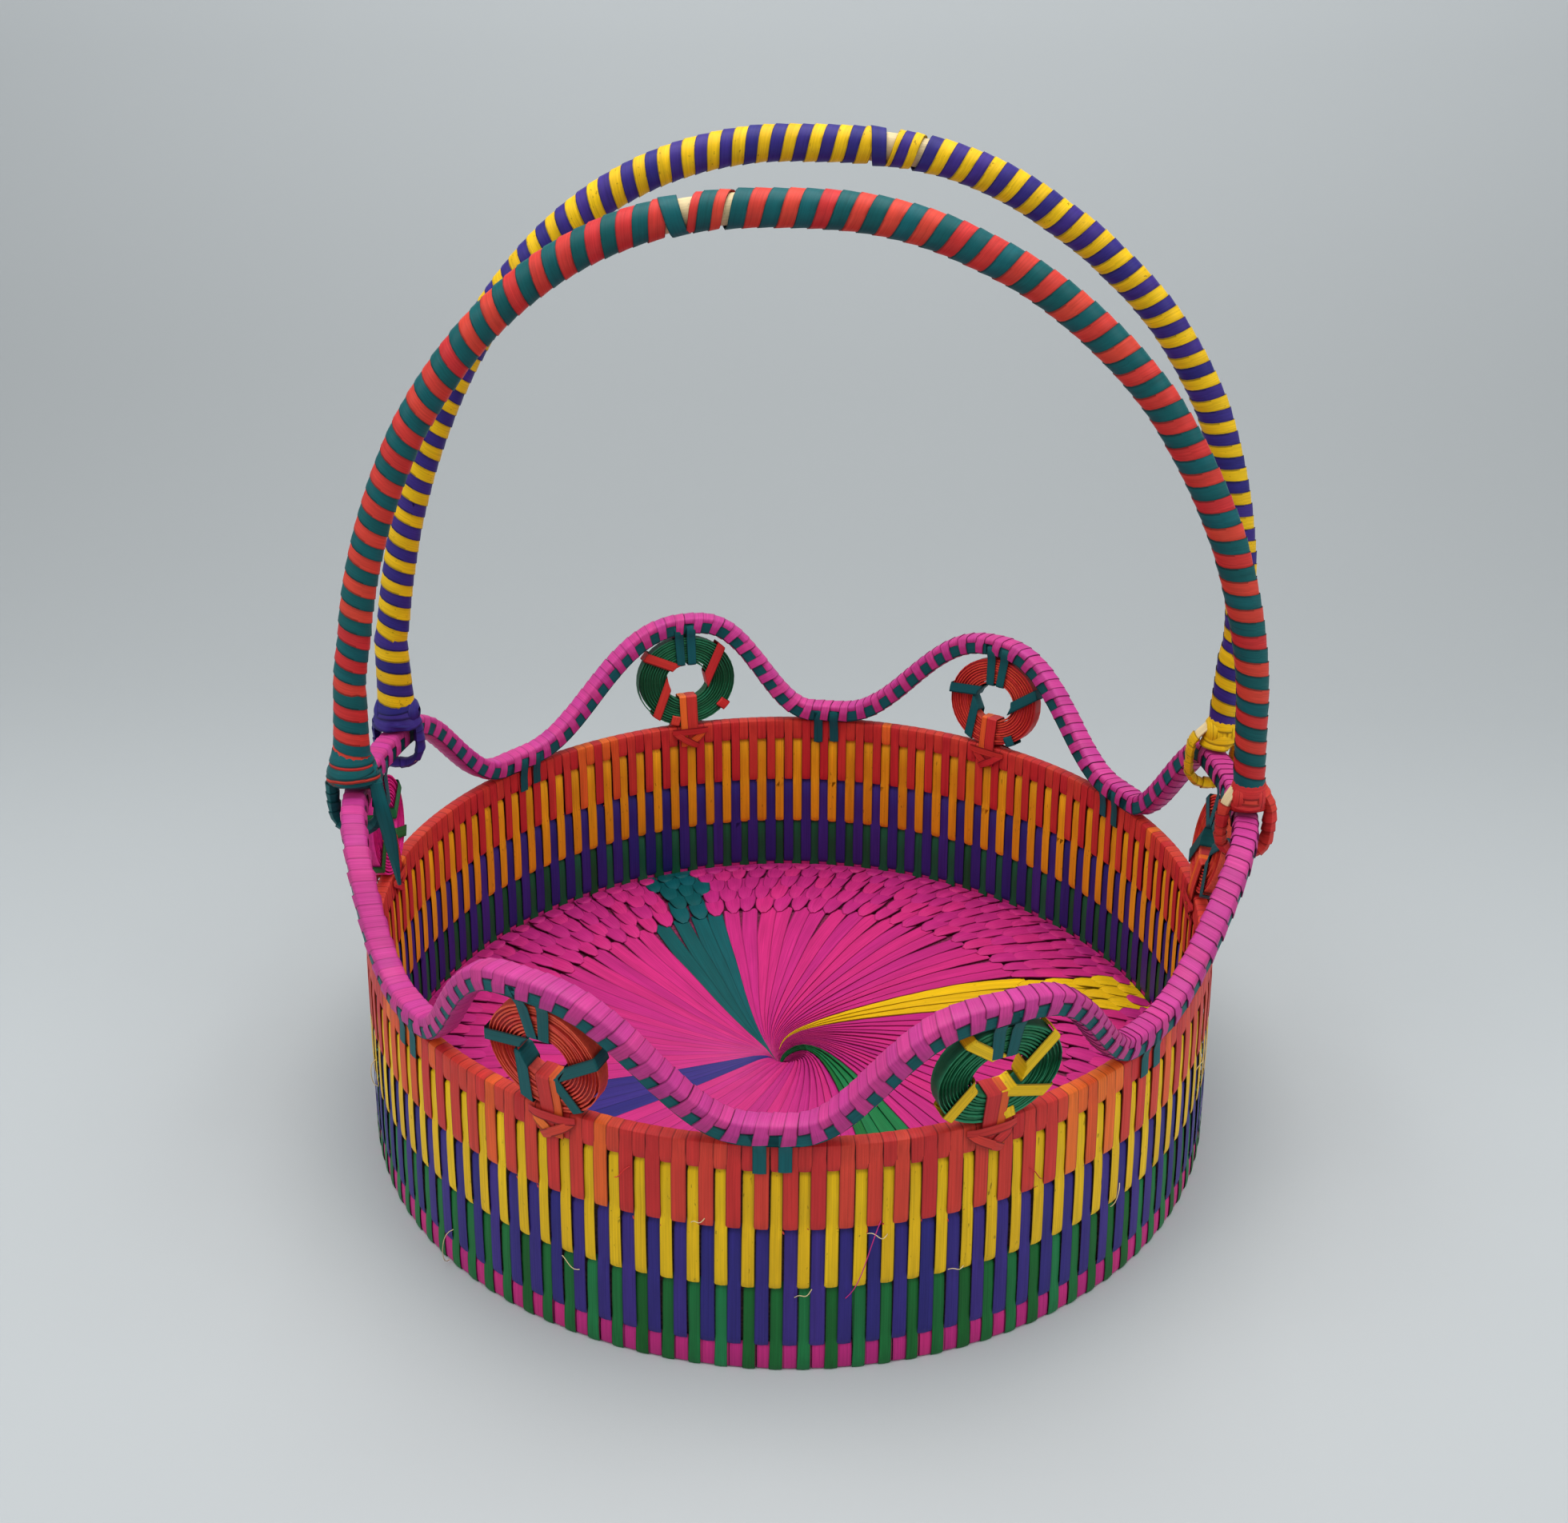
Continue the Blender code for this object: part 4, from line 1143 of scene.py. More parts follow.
def crossings(start_x, start_z, ahead, radius, squash):
    """Where lines enter a round edge, as distances along them; or where they pass it closest."""
    square = ahead[0] ** 2 + (ahead[1] / squash) ** 2
    linear = 2 * (start_x * ahead[0] + start_z * ahead[1] / squash ** 2)
    constant = start_x ** 2 + (start_z / squash) ** 2 - radius ** 2
    root = np.sqrt(np.maximum(linear * linear - 4 * square * constant, 0))
    return (-linear - root) / (2 * square)


def binding_rows():
    """Once round the turns: shares of the way to the hole, shifts at the folds, and depths."""
    high, fold = BINDING_REACH, BINDING_FOLD
    front = [(0, 0, 0), (0, 0, high - fold), (0, fold, high), (0.5, 0, high), (1, -fold, high),
             (1, 0, high - fold), (1, 0, 0)]
    behind = [(share, shift, -depth) for share, shift, depth in front[-2::-1]]
    return [np.array(column) for column in zip(*front + behind)]


def binding(coil, outer_degrees, inner_degrees, dye, width=BINDING_WIDTH, stub=False):
    """A flat strip round the turns, from the outer edge at one angle to the hole at another.

    A stub ends a little way in: there the strip goes on behind the coil.
    """
    outer, inner = coil.half_width + 0.30 * MM, coil.hole - 0.45 * MM
    if stub:
        inner = outer - STUB_LENGTH
    spots = []
    for reach, degrees in ((outer, outer_degrees), (inner, inner_degrees)):
        turn = math.radians(degrees)
        spots.append(np.array([reach * math.cos(turn), reach * coil.squash * math.sin(turn)]))
    ahead = (spots[1] - spots[0]) / np.linalg.norm(spots[1] - spots[0])
    across = np.array([-ahead[1], ahead[0]])
    shares, shifts, depths = binding_rows()

    def place(side, row):
        start_x = spots[0][0] + across[0] * side * width / 2
        start_z = spots[0][1] + across[1] * side * width / 2
        begin = crossings(start_x, start_z, ahead, outer, coil.squash)
        end = crossings(start_x, start_z, ahead, inner, coil.squash)
        along = begin + (end - begin) * shares[row] + shifts[row]
        return coil.place(start_x + ahead[0] * along, depths[row], start_z + ahead[1] * along)

    return Strip(place, width, BINDING_LENGTH, dye, rng.random())


# Each medallion: angle, width as a share of height, the hole's radius in mm, its colour, the
# bindings' colour, each binding as the angles of its outer and inner end, in degrees from the
# clockwise side, upwards, and the angles of its stubs
MEDALLIONS = {
    "back_right": (57.5, 1.10, 8.8, "coil_red", "teal", ((174, 152), (24, -4), (243, 196)), (-59,)),
    "back_left": (110.3, 1.12, 8.8, "coil_green", "red", ((142, 124), (45, -4), (229, 183)), (-41, -108)),
    "left": (178.8, 1.00, 7.5, "coil_pink", "green", ((150, 135), (25, 8), (-35, -60), (215, 190)), ()),
    "front_left": (245.2, 1.00, 8.0, "coil_red", "teal", ((9, 36), (165, 206), (-66, 8), (240, 247)), ()),
    "front_right": (295.9, 1.13, 8.7, "coil_green", "yellow",
                    ((56, 80), (142, 176), (215, 246), (-42, -18)), (-105,)),
    "right": (1.2, 1.00, 7.5, "coil_red", "teal", ((140, 130), (30, 10), (-50, -20), (222, 190)), ()),
}
coils = {}
for name, (angle, width_share, hole, dye, tie, bindings, stubs) in MEDALLIONS.items():
    coil = coils[name] = Coil(angle, width_share, hole)
    bm = new_bmesh()
    dyes = [dye, tie]
    turns, steps = coil_turns(coil, dye)
    lay(bm, [turns], steps, dyes, across=1)
    bmesh.ops.solidify(bm, geom=bm.faces[:], thickness=COIL_STRIP)
    coil_filling(bm, coil)
    first = len(bm.faces)
    straps = [binding(coil, *ends, tie, width=BINDING_WIDTH * rng.uniform(0.92, 1.05)) for ends in bindings]
    straps += [binding(coil, spot, spot, tie, stub=True) for spot in stubs]
    lay(bm, straps, len(binding_rows()[0]) - 1, dyes)
    bm.faces.ensure_lookup_table()
    bmesh.ops.solidify(bm, geom=bm.faces[first:], thickness=LEAF_THICKNESS)
    finish_piece("coil_" + name, bm, dyes, "basket", ["medallion_" + name], thickness=0)

# %% [markdown]
# Two teal straps hang each coil from its crest in a narrow V. They go through the hole and up both
# faces, and tuck in under the pink turns. An orange and a red strap tie it down to the rim, where
# they end in a flat knot.

# %% Ties of the medallions
TIE_WIDTH = 4.0 * MM
TIE_LIFT = 0.65 * MM
TIE_FOLD = 0.5 * MM
# How far from the hole's middle a strap is taken to lie, where its path meets the hole's edge
UPPER_AT, LOWER_AT = 2.2 * MM, 3.0 * MM
# How far apart the two straps run: at the crest, and at the hole
TIE_SPREAD = {"front_left": (8.6 * MM, 3.8 * MM), "front_right": (6.8 * MM, 4.6 * MM),
              "back_left": (5.4 * MM, 4.8 * MM), "back_right": (6.6 * MM, 4.4 * MM),
              "left": (7.0 * MM, 4.4 * MM), "right": (6.4 * MM, 4.4 * MM)}


def hole_edge(coil, drift, way):
    """The height of the hole's edge at a place across it, with room for the strap."""
    return way * (coil.squash * math.sqrt(coil.hole ** 2 - drift ** 2) - TIE_FOLD)


def upper_path(coil):
    """From the inside of the crest down to the hole, through it and up to the outside of the crest."""
    middle = coil.half_height + COIL_SEAT + BORDER_ROD / 2
    face = COIL_DEPTH / 2 + TIE_LIFT
    edge = hole_edge(coil, UPPER_AT, 1)
    half = [(3.3 * MM, middle + 0.7 * MM), (3.93 * MM, middle - 0.2 * MM), (3.93 * MM, middle - 2.6 * MM),
            (3.5 * MM, middle - 4.2 * MM), (face, middle - 5.4 * MM), (face, (middle + edge) / 2 - 2 * MM),
            (face, edge + TIE_FOLD), (face - TIE_FOLD, edge)]
    whole = [(-y, z) for y, z in half] + [(0.0, edge)] + half[::-1]
    return np.array([coil.point(y, z) for y, z in whole])


def lower_path(coil, foot, lift):
    """From the rim's outside foot up to the hole, through it and down to the rim's inside foot."""
    face = COIL_DEPTH / 2 + lift
    edge = hole_edge(coil, LOWER_AT, -1)
    up = [(face, 2 * MM - coil.half_height), (face, (edge - coil.half_height) / 2), (face, edge - TIE_FOLD),
          (face - TIE_FOLD, edge)]
    through = up + [(0.0, edge)] + [(-y, z) for y, z in up[::-1]]
    rim = [(foot, -0.4 * MM), (foot - 0.8 * MM, 0.75 * MM), (foot / 2, 0.8 * MM + lift - TIE_LIFT),
           (1.0 * MM, 0.75 * MM)]
    outer = [(wall_radius(depth, 1) + far, RIM_TOP - depth) for depth, far in rim]
    inner = [(wall_radius(depth, -1) - far, RIM_TOP - depth) for depth, far in rim]
    return np.array(outer + [coil.point(y, z) for y, z in through] + inner[::-1])


def rim_patch(angle, face, start, end, width, lift, dye):
    """A strip laid flat on a face of the rim, between two places given as (drift, depth)."""
    share = np.linspace(0, 1, PATCH_ROWS + 1)
    drifts = start[0] + (end[0] - start[0]) * share
    depths = start[1] + (end[1] - start[1]) * share
    ahead = np.array([end[0] - start[0], start[1] - end[1]]) / math.dist(start, end)
    across = np.array([ahead[1], -ahead[0]]) * face
    lifts = lift - PATCH_DIP * np.abs(2 * share - 1) ** 4
    widths = width * (1 - PATCH_TAPER_SHARE * np.abs(2 * share - 1) ** 3)

    def place(side, row):
        turn = angle + (drifts[row] + across[0] * side * widths[row] / 2) / RIM_RADIUS
        depth = depths[row] - across[1] * side * widths[row] / 2
        radius = wall_radius(depth, face) + face * lifts[row]
        return np.stack([radius * np.cos(turn), radius * np.sin(turn), RIM_TOP - depth], axis=1)

    return Strip(place, width, PATCH_LENGTH, dye, rng.random())


def knot_patches(angle):
    """The flat knot on both faces of the rim. The two crossing strips may lie either way round."""
    made = []
    for face in (1, -1):
        way = rng.choice((-1, 1))
        for start, end, width, lift, turned, dyes in KNOT_PATCHES:
            side = way if turned else 1
            ends = [(drift * MM * side, depth * MM) for drift, depth in (start, end)]
            dye = rng.choice(dyes) if len(dyes) > 1 else dyes[0]
            made.append(rim_patch(angle, face, *ends, width * MM, lift * MM, dye))
    return made


PATCH_ROWS = 6
PATCH_LENGTH = 12 * MM
PATCH_DIP = 1.1 * MM
PATCH_TAPER_SHARE = 0.25
# Each strip of a knot: start and end as (drift, depth), its width and its height over the rim's face,
# all in mm, whether it may be turned round, and its dye or two to choose from
KNOT_PATCHES = (
    ((-8.2, 1.6), (8.2, 1.3), 2.9, 1.75, False, ("red",)),
    ((-6.4, 2.4), (1.2, 7.6), 3.2, 1.5, True, ("red", "orange")),
    ((7.2, 2.2), (-3.6, 9.0), 2.8, 1.9, True, ("red",)),
)
# The two straps of a lower tie: place across the hole and width in mm, dye, height over the coil
LOWER_STRAPS = ((2.2, 3.4, "orange", TIE_LIFT), (-1.3, 4.8, "red", TIE_LIFT + 0.25 * MM))
for name, coil in coils.items():
    angle = math.radians(coil.angle)
    straps = []
    crest_spread, hole_spread = TIE_SPREAD[name]
    for side in (-1, 1):
        path = upper_path(coil)
        rise = (path[:, 1] - path[:, 1].min()) / np.ptp(path[:, 1])
        spread = hole_spread + (crest_spread + rng.uniform(-0.6, 0.6) * MM - hole_spread) * rise
        widths = TIE_WIDTH * (0.9 + 0.1 * rise)
        straps.append(wall_strip(angle, path, widths, side * spread / 2, "teal", rng.random()))
    bm = new_bmesh()
    lay(bm, straps, len(path) - 1, ["teal"])
    finish_piece("hanging_straps_" + name, bm, ["teal"], "basket", ["upper_tie_" + name])

    straps = []
    for drift, width, dye, lift in LOWER_STRAPS:
        path = lower_path(coil, (9.0 + rng.uniform(-1, 1)) * MM, lift)
        widths = np.full(len(path), width * MM)
        widths[[0, -1]] *= STRAP_TAPER
        drifts = np.full(len(path), drift * MM) + rng.uniform(-0.5, 0.5) * MM
        straps.append(wall_strip(angle, path, widths, drifts, dye, rng.random()))
    bm = new_bmesh()
    lay(bm, straps, len(path) - 1, ["orange", "red"])
    lay(bm, knot_patches(angle), PATCH_ROWS, ["orange", "red"])
    finish_piece("rim_knot_" + name, bm, ["orange", "red"], "basket", ["lower_tie_" + name])

# %% [markdown]
# ## The handles
#
# Each handle is a bent cane with two strips of unlike colour wound round it side by side. Each turn
# overlaps the one before, so the outline is slightly stepped. Near the top of both handles a new
# pair of strips was let in: the turns are uneven there, and a sliver of bare cane shows.

# %% The arches
PIVOT_HEIGHT = 133.6 * MM
LEG_TOP = 30.0 * MM
CANE_RADIUS = 4.0 * MM
WRAP_RADIUS = 5.4 * MM
WRAP_TURNS = np.radians(np.linspace(-180, 180, 17))
ARCH_POINTS = 400
LEG_STEPS = 8
PATH_FOOT = 4.0 * MM
# Each handle: how high its arch rises over the legs and sways to the right, the powers of the arch,
# the two dyes of its wraps, the dyes of its left and right collar, the pitches, and the place across
# the basket where new strips were let in. The pitches are shares of the way along, and the length
# that a pair of turns takes there, in mm.
Handle = namedtuple("Handle", "rise sway powers dyes collars pitches splice")
HANDLES = {
    "front": Handle(157.9 * MM, -3.5 * MM, (2.43, 1.41), ("red", "teal"), ("teal", "red"),
                    ((0, 0.2, 0.5, 0.8, 1), (9.0, 9.2, 9.9, 9.6, 9.0)), -33 * MM),
    "rear": Handle(170.0 * MM, 8.4 * MM, (2.49, 1.68), ("yellow", "purple"), ("purple", "yellow"),
                   ((0, 0.2, 0.5, 0.8, 1), (8.9, 8.8, 7.9, 8.4, 8.9)), 27 * MM),
}
SIDES = ("left", "right")
# How far the hand-bent canes lie off the smooth arches of the measured model: sideways and upwards
# in mm, by degrees round the arch from its right end, and sideways at the foot of each leg
OFFSETS = {
    "front": ((0, 12, 30, 47, 60, 72, 85, 138, 152, 167, 180),
              (-2.5, -0.7, 2.2, 2.5, 0.4, 0, 0, 0, 1.7, 3.7, 2.2),
              (0, 0, 0, 0, -0.8, -2.1, -1.2, 0, 0, 0, 0)),
    "rear": ((0, 12, 35, 47, 56, 66, 80, 95, 180), (3.3, 2.2, 2.5, 0.8, 0, 0, 0, 0, 0.9),
             (0, 0, 0, -1.2, -3.6, -4.6, -2.0, 0, 0)),
}
FOOT_OFFSETS = {("front", "left"): 0.0, ("front", "right"): -0.4 * MM,
                ("rear", "left"): 0.5 * MM, ("rear", "right"): 2.6 * MM}


def eye_middle(name, side):
    """The middle of an eye, on the line that its handle swings about."""
    low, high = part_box(f"{name}_{side}_eye")
    return Vector(((low.x + high.x) / 2, (low.y + high.y) / 2, PIVOT_HEIGHT))


def arch_rod(name):
    """The cane's middle line: two upright legs and the rounded arch between them."""
    handle = HANDLES[name]
    left, right = (eye_middle(name, side) for side in SIDES)
    half = (right.x - left.x) / 2
    degrees, sideways, upwards = OFFSETS[name]
    arch = []
    for step in range(ARCH_POINTS + 1):
        turn = math.pi * (1 - step / ARCH_POINTS)
        across = math.copysign(abs(math.cos(turn)) ** (2 / handle.powers[0]), math.cos(turn))
        up = max(math.sin(turn), 0) ** (2 / handle.powers[1])
        aside = np.interp(math.degrees(turn), degrees, sideways) * MM
        lift = np.interp(math.degrees(turn), degrees, upwards) * MM
        arch.append(Vector((left.x + half + half * across + handle.sway * math.sqrt(up) + aside, left.y,
                            PIVOT_HEIGHT + LEG_TOP + handle.rise * up + lift)))
    legs = []
    for side, middle, top in zip(SIDES, (left, right), (arch[0], arch[-1])):
        foot = Vector((middle.x + FOOT_OFFSETS[name, side], middle.y, PIVOT_HEIGHT + PATH_FOOT))
        legs.append([foot.lerp(top, step / LEG_STEPS) for step in range(LEG_STEPS)])
    return Rod(legs[0] + arch + legs[1][::-1], (0, -1, 0))


# How much thicker or thinner the wrapping is near its left and right foot: places and sizes in mm
SWELLS = {"front": ((0, 6, 12, 30, 60), (1.5, 0.7, 0.4, -0.15, 0), (0, 20, 60), (-0.25, -0.35, 0)),
          "rear": ((0, 7, 30, 90), (1.2, 0.9, 0.3, 0), (0, 20, 60), (-0.2, -0.3, 0))}
# Where new strips were let in, the first strip of that pair and of the next one are narrower by these
# shares and lie shifted along the cane
SPLICE_WIDTH_SHARES = (0.55, 0.6)
SPLICE_SHIFTS = (1.2 * MM, -1.5 * MM)
# The strip before them leans the other way, and lies a little higher
SPLICE_LEAN_SHARE = -0.4
SPLICE_LIFT = 0.3 * MM
# How much wider than its half of the pitch a strip is, and how its edges slope over the one before
WRAP_OVERLAP = 0.55 * MM
WRAP_TILT = -0.17 * MM
# Where the wrapping starts, and how far before the other foot its last pair may begin
WRAP_START, WRAP_STOP = 3.0 * MM, 6 * MM


def wrap_swell(name, along, length):
    """How much thicker the wrapping is at a place along the cane."""
    left_places, left_sizes, right_places, right_sizes = SWELLS[name]
    return (np.interp(along / MM, left_places, left_sizes)
            + np.interp((length - along) / MM, right_places, right_sizes)) * MM


def handle_wraps(rod, name):
    """Pairs of turns from the left foot to the right one, each strip over the one before it."""
    handle = HANDLES[name]
    made = []
    spot = WRAP_START
    while spot < rod.length - WRAP_STOP:
        pitch = np.interp(spot / rod.length, *handle.pitches) * MM
        centre = rod.at(spot)[0]
        pairs_off = (centre[0] - handle.splice) / pitch
        for half, dye in enumerate(handle.dyes):
            wide = pitch / 2 * rng.uniform(0.97, 1.03) + WRAP_OVERLAP
            middle = spot + half * pitch / 2
            advance = pitch * WRAP_TURNS / (2 * math.pi)
            skew = rng.uniform(-0.25, 0.25) * MM * np.cos(WRAP_TURNS + rng.uniform(0, 6))
            layer = rng.uniform(-0.04, 0.08) * MM
            if 0 <= pairs_off < 2 and half == 0:
                wide *= SPLICE_WIDTH_SHARES[int(pairs_off)]
                middle += SPLICE_SHIFTS[int(pairs_off)]
            if -1 <= pairs_off < 0 and half == 1:
                advance = SPLICE_LEAN_SHARE * advance
                layer = SPLICE_LIFT
            reach = WRAP_RADIUS + layer + wrap_swell(name, middle + advance, rod.length)
            made.append(wound(rod, middle + advance + skew, wide, WRAP_TURNS, reach, dye, rng.random(),
                              tilt=WRAP_TILT))
        spot += pitch
    return made


CANE_STEPS = 120
CANE_SIDES = 16
CANE_GIRTH = 25 * MM
BARE_RADIUS = CANE_RADIUS + 0.35 * MM
for name, handle in HANDLES.items():
    rod = arch_rod(name)
    bm = new_bmesh()
    wraps = handle_wraps(rod, name)
    lay(bm, wraps, len(WRAP_TURNS) - 1, list(handle.dyes))
    finish_piece(name + "_handle_wraps", bm, list(handle.dyes), name + "_handle", [name + "_wrap"])
    bm = new_bmesh()
    stops = np.linspace(0, rod.length, CANE_STEPS + 1)
    cane = tube_strip(rod, stops, CANE_GIRTH, BARE_RADIUS, "cream")
    lay(bm, [cane], CANE_STEPS, ["cream"], across=CANE_SIDES)
    finish_piece(name + "_handle_cane", bm, ["cream"], name + "_handle", [name + "_cane"])
    print(name, "handle: cane in mm", round(rod.length / MM), "turns", len(wraps))

# %% [markdown]
# ### Collars and eyes
#
# The thinned ends of the cane go round the border as a loop, wound with strip, and a thick collar of
# the same strip binds them to the cane. The windings are laid by hand, so none lies quite square.

# %% Collars
# Each collar: heights above the pivot and its radius there, in mm, and its strips as height, width
# and slant in mm with the lowest side in degrees
Collar = namedtuple("Collar", "heights radii strips")
COLLARS = {
    ("front", "left"): Collar((-3, -1, 3, 7, 12), (8.8, 8.9, 7.7, 6.6, 5.9),
                              ((7.0, 4.4, 0.7, 200), (4.6, 5.0, 1.2, 20), (2.0, 5.2, 1.6, 170),
                               (-0.5, 5.0, 1.1, 330))),
    ("front", "right"): Collar((-4, -1, 3, 8), (6.6, 5.9, 5.5, 5.1),
                               ((4.0, 4.8, 0.5, 30), (1.0, 4.8, 0.9, 200), (-1.6, 4.6, 1.0, 20))),
    ("rear", "left"): Collar((-5, -3, 1, 4, 9), (9.0, 8.4, 7.3, 6.6, 6.1),
                             ((4.6, 4.8, 0.8, 20), (1.6, 5.0, 0.9, 170), (-1.2, 5.0, 1.0, 330),
                              (-3.2, 5.2, 1.5, 250))),
    ("rear", "right"): Collar((-5, -3, 0, 3, 8), (7.2, 6.6, 5.9, 5.3, 5.1),
                              ((4.0, 5.0, 0.5, 200), (0.4, 5.0, 0.8, 30), (-3.0, 5.0, 1.1, 190))),
}
COLLAR_TURNS = np.radians(np.linspace(-180, 180, 25))
COLLAR_FLARE = 0.35 * MM
# The heights between which a collar's turns may lie, over and under the pivot
COLLAR_LOW, COLLAR_HIGH = -10 * MM, 14 * MM
COLLAR_PARTS = 4
LOWEST_STRAY = 25
COLLAR_UNDER = {("front", "left"): "red"}
UNDER_WIDTH = 2.2 * MM
# The room between the pivot and the border's top, and how far the front and the back of each
# handle dip when it swings, in degrees
ROOM = 5.45 * MM
DIPS = {"front": (30, 5.5), "rear": (5.5, 30)}


def collar_reach(name, radius, height, turn):
    """An oval as wide as the collar, and so deep that it clears the border when the handle swings."""
    front, back = (np.radians(dip) for dip in DIPS[name])
    dip = np.where(np.cos(turn) > 0, front, back)
    knob = np.sqrt(np.maximum(ROOM ** 2 - height ** 2, 0))
    deep = np.minimum(radius, np.maximum(knob, (ROOM + height * np.cos(dip)) / np.sin(dip)))
    return 1 / np.hypot(np.cos(turn) / deep, np.sin(turn) / radius)


def collar_strips(name, side, dye):
    """Thick, uneven turns, each over the one above it, with a second colour showing at some edges."""
    collar = COLLARS[name, side]
    middle = eye_middle(name, side)
    aside = FOOT_OFFSETS[name, side]
    rises = [(COLLAR_HIGH - COLLAR_LOW) * step / COLLAR_PARTS for step in range(COLLAR_PARTS + 1)]
    rod = Rod([(middle.x + aside, middle.y, middle.z + COLLAR_LOW + rise) for rise in rises], (0, -1, 0))
    under = COLLAR_UNDER.get((name, side))
    made = []
    for height, width, slant, lowest in collar.strips:
        phase = math.radians(lowest + rng.uniform(-LOWEST_STRAY, LOWEST_STRAY))
        slope = slant * MM * np.cos(COLLAR_TURNS - phase) * rng.uniform(0.7, 1.2)
        middles = height * MM - COLLAR_LOW - slope
        swell = rng.uniform(-0.05, 0.15) * MM

        def reach(turn, along):
            at = along + COLLAR_LOW
            radius = np.interp(at / MM, collar.heights, collar.radii) * MM + swell
            return collar_reach(name, radius, at, turn)

        made.append(wound(rod, middles, width * MM, COLLAR_TURNS, reach, dye, rng.random(),
                          tilt=-COLLAR_FLARE))
        if under:
            made.append(wound(rod, middles - width * MM / 2, UNDER_WIDTH, COLLAR_TURNS, reach, under,
                              rng.random(), tilt=-COLLAR_FLARE / 2))
    return made


for name, handle in HANDLES.items():
    for side, dye in zip(SIDES, handle.collars):
        under = COLLAR_UNDER.get((name, side))
        dyes = [dye, under] if under else [dye]
        bm = new_bmesh()
        lay(bm, collar_strips(name, side, dye), len(COLLAR_TURNS) - 1, dyes)
        finish_piece(f"{name}_{side}_binding", bm, dyes, name + "_handle", [f"{name}_{side}_collar"])

# %% Eyes
STRAND_OFFSET = 7.9 * MM
EYE_DROP = {"front": 21.5 * MM, "rear": 21.1 * MM}
# Half the strand's breadth along the border, and half its thickness
STRAND_BREADTH = 3.3 * MM
STRAND_DEPTH = {"front": 1.95 * MM, "rear": 1.45 * MM}
STRAND_TURNS = np.radians(np.linspace(-180, 180, 13))
EYE_STRIP = 4.9 * MM
EYE_PITCH = 3.7 * MM
EYE_TILT = -0.3 * MM
KNOB_HALF = {"front_left": 8.6 * MM, "front_right": 5.9 * MM, "rear_left": 8.4 * MM, "rear_right": 6.3 * MM}
# The saddle's radius in mm by the share of its half length
KNOB_SHAPE = ((0, 0.6, 0.85, 1.0, 1.1), (5.8, 5.7, 4.4, 2.0, 0.6))
KNOB_STRIPS = (-0.84, -0.56, -0.28, 0.0, 0.28, 0.56, 0.84)
KNOB_STRIP_SHARE = 0.36
# The path of the loop's upper part: how far out, and how high over the pivot, in mm
EYE_PATH = ((2.4, 8.0), (3.2, 5.0), (4.5, 2.2), (6.2, -0.6), (7.5, -3.6), (7.9, -7.0))
# Between these heights, in mm over the pivot, the loop leads over to the cane's foot, which may lie
# a little aside
ASIDE_FROM, ASIDE_TO = -4, 4
EYE_BEND = 16
# Under 1, the bend is squarer than a half circle, as the border's rod is
BEND_POWER = 0.85


def eye_rod(middle, aside, drop):
    """The loop: from the collar down one side of the border, under it, and up the other side."""
    bottom = STRAND_OFFSET - drop
    drawn = [aside * min(max(z - ASIDE_FROM, 0) / (ASIDE_TO - ASIDE_FROM), 1) for _, z in EYE_PATH]
    left = [(-x * MM + shift, z * MM) for (x, z), shift in zip(EYE_PATH, drawn)]
    bend = [(math.copysign(abs(math.cos(turn)) ** BEND_POWER, math.cos(turn)) * STRAND_OFFSET,
             bottom - abs(math.sin(turn)) ** BEND_POWER * STRAND_OFFSET)
            for turn in np.linspace(math.pi, 2 * math.pi, EYE_BEND + 1)]
    right = [(x * MM + shift, z * MM) for (x, z), shift in zip(EYE_PATH[::-1], drawn[::-1])]
    return Rod([(middle.x + x, middle.y, middle.z + z) for x, z in left + bend + right], (0, -1, 0))


def strand_reach(turn, depth, grow):
    """The strand's flat oval section, a little larger or smaller."""
    return 1 / np.hypot(np.cos(turn) / (STRAND_BREADTH + grow), np.sin(turn) / (depth + grow))


def strand_wraps(rod, dye, depth, start, end):
    """Turns of strip along a stretch of the loop, each a little askew."""
    made = []
    spot = start
    while spot < end:
        skew = rng.uniform(0.2, 0.9) * MM * np.cos(STRAND_TURNS + rng.uniform(0, 6))
        reach = strand_reach(STRAND_TURNS, depth, rng.uniform(-0.1, 0.2) * MM)
        made.append(wound(rod, spot + skew, EYE_STRIP, STRAND_TURNS, reach, dye, rng.random(),
                          tilt=EYE_TILT))
        spot += EYE_PITCH
    return made


def knob_wraps(middle, half, dye):
    """Strips over the saddle that rocks on the border."""
    rod = Rod([(middle.x + share * half, middle.y, middle.z) for share in (-1, -0.5, 0, 0.5, 1)],
              (0, -1, 0))

    def reach(turn, along):
        return np.interp(np.abs(along / half - 1), *KNOB_SHAPE) * MM

    made = []
    for share in KNOB_STRIPS:
        skew = rng.uniform(-0.3, 0.3) * MM * np.cos(STRAND_TURNS + rng.uniform(0, 6))
        made.append(wound(rod, half * (1 + share) + skew, half * KNOB_STRIP_SHARE, STRAND_TURNS, reach, dye,
                          rng.random()))
    return made


# The loose end at the front left collar: where it starts under the pivot, and shares of its length
# with its place to the right, its place forwards and its width there, in mm
TAIL_DROP = 2.0 * MM
TAIL_LENGTH = 40 * MM
TAIL_ASIDE = ((0, 0.2, 0.5, 1), (8.6, 10.0, 11.6, 12.8))
TAIL_FORWARD = ((0, 0.2, 0.5, 1), (-3.2, -4.4, -4.0, -2.5))
TAIL_WIDTHS = ((0, 0.3, 0.6, 1), (4.4, 5.6, 4.6, 0.9))
TAIL_CROWN = 0.5 * MM
TAIL_BREADTH = 5.0 * MM


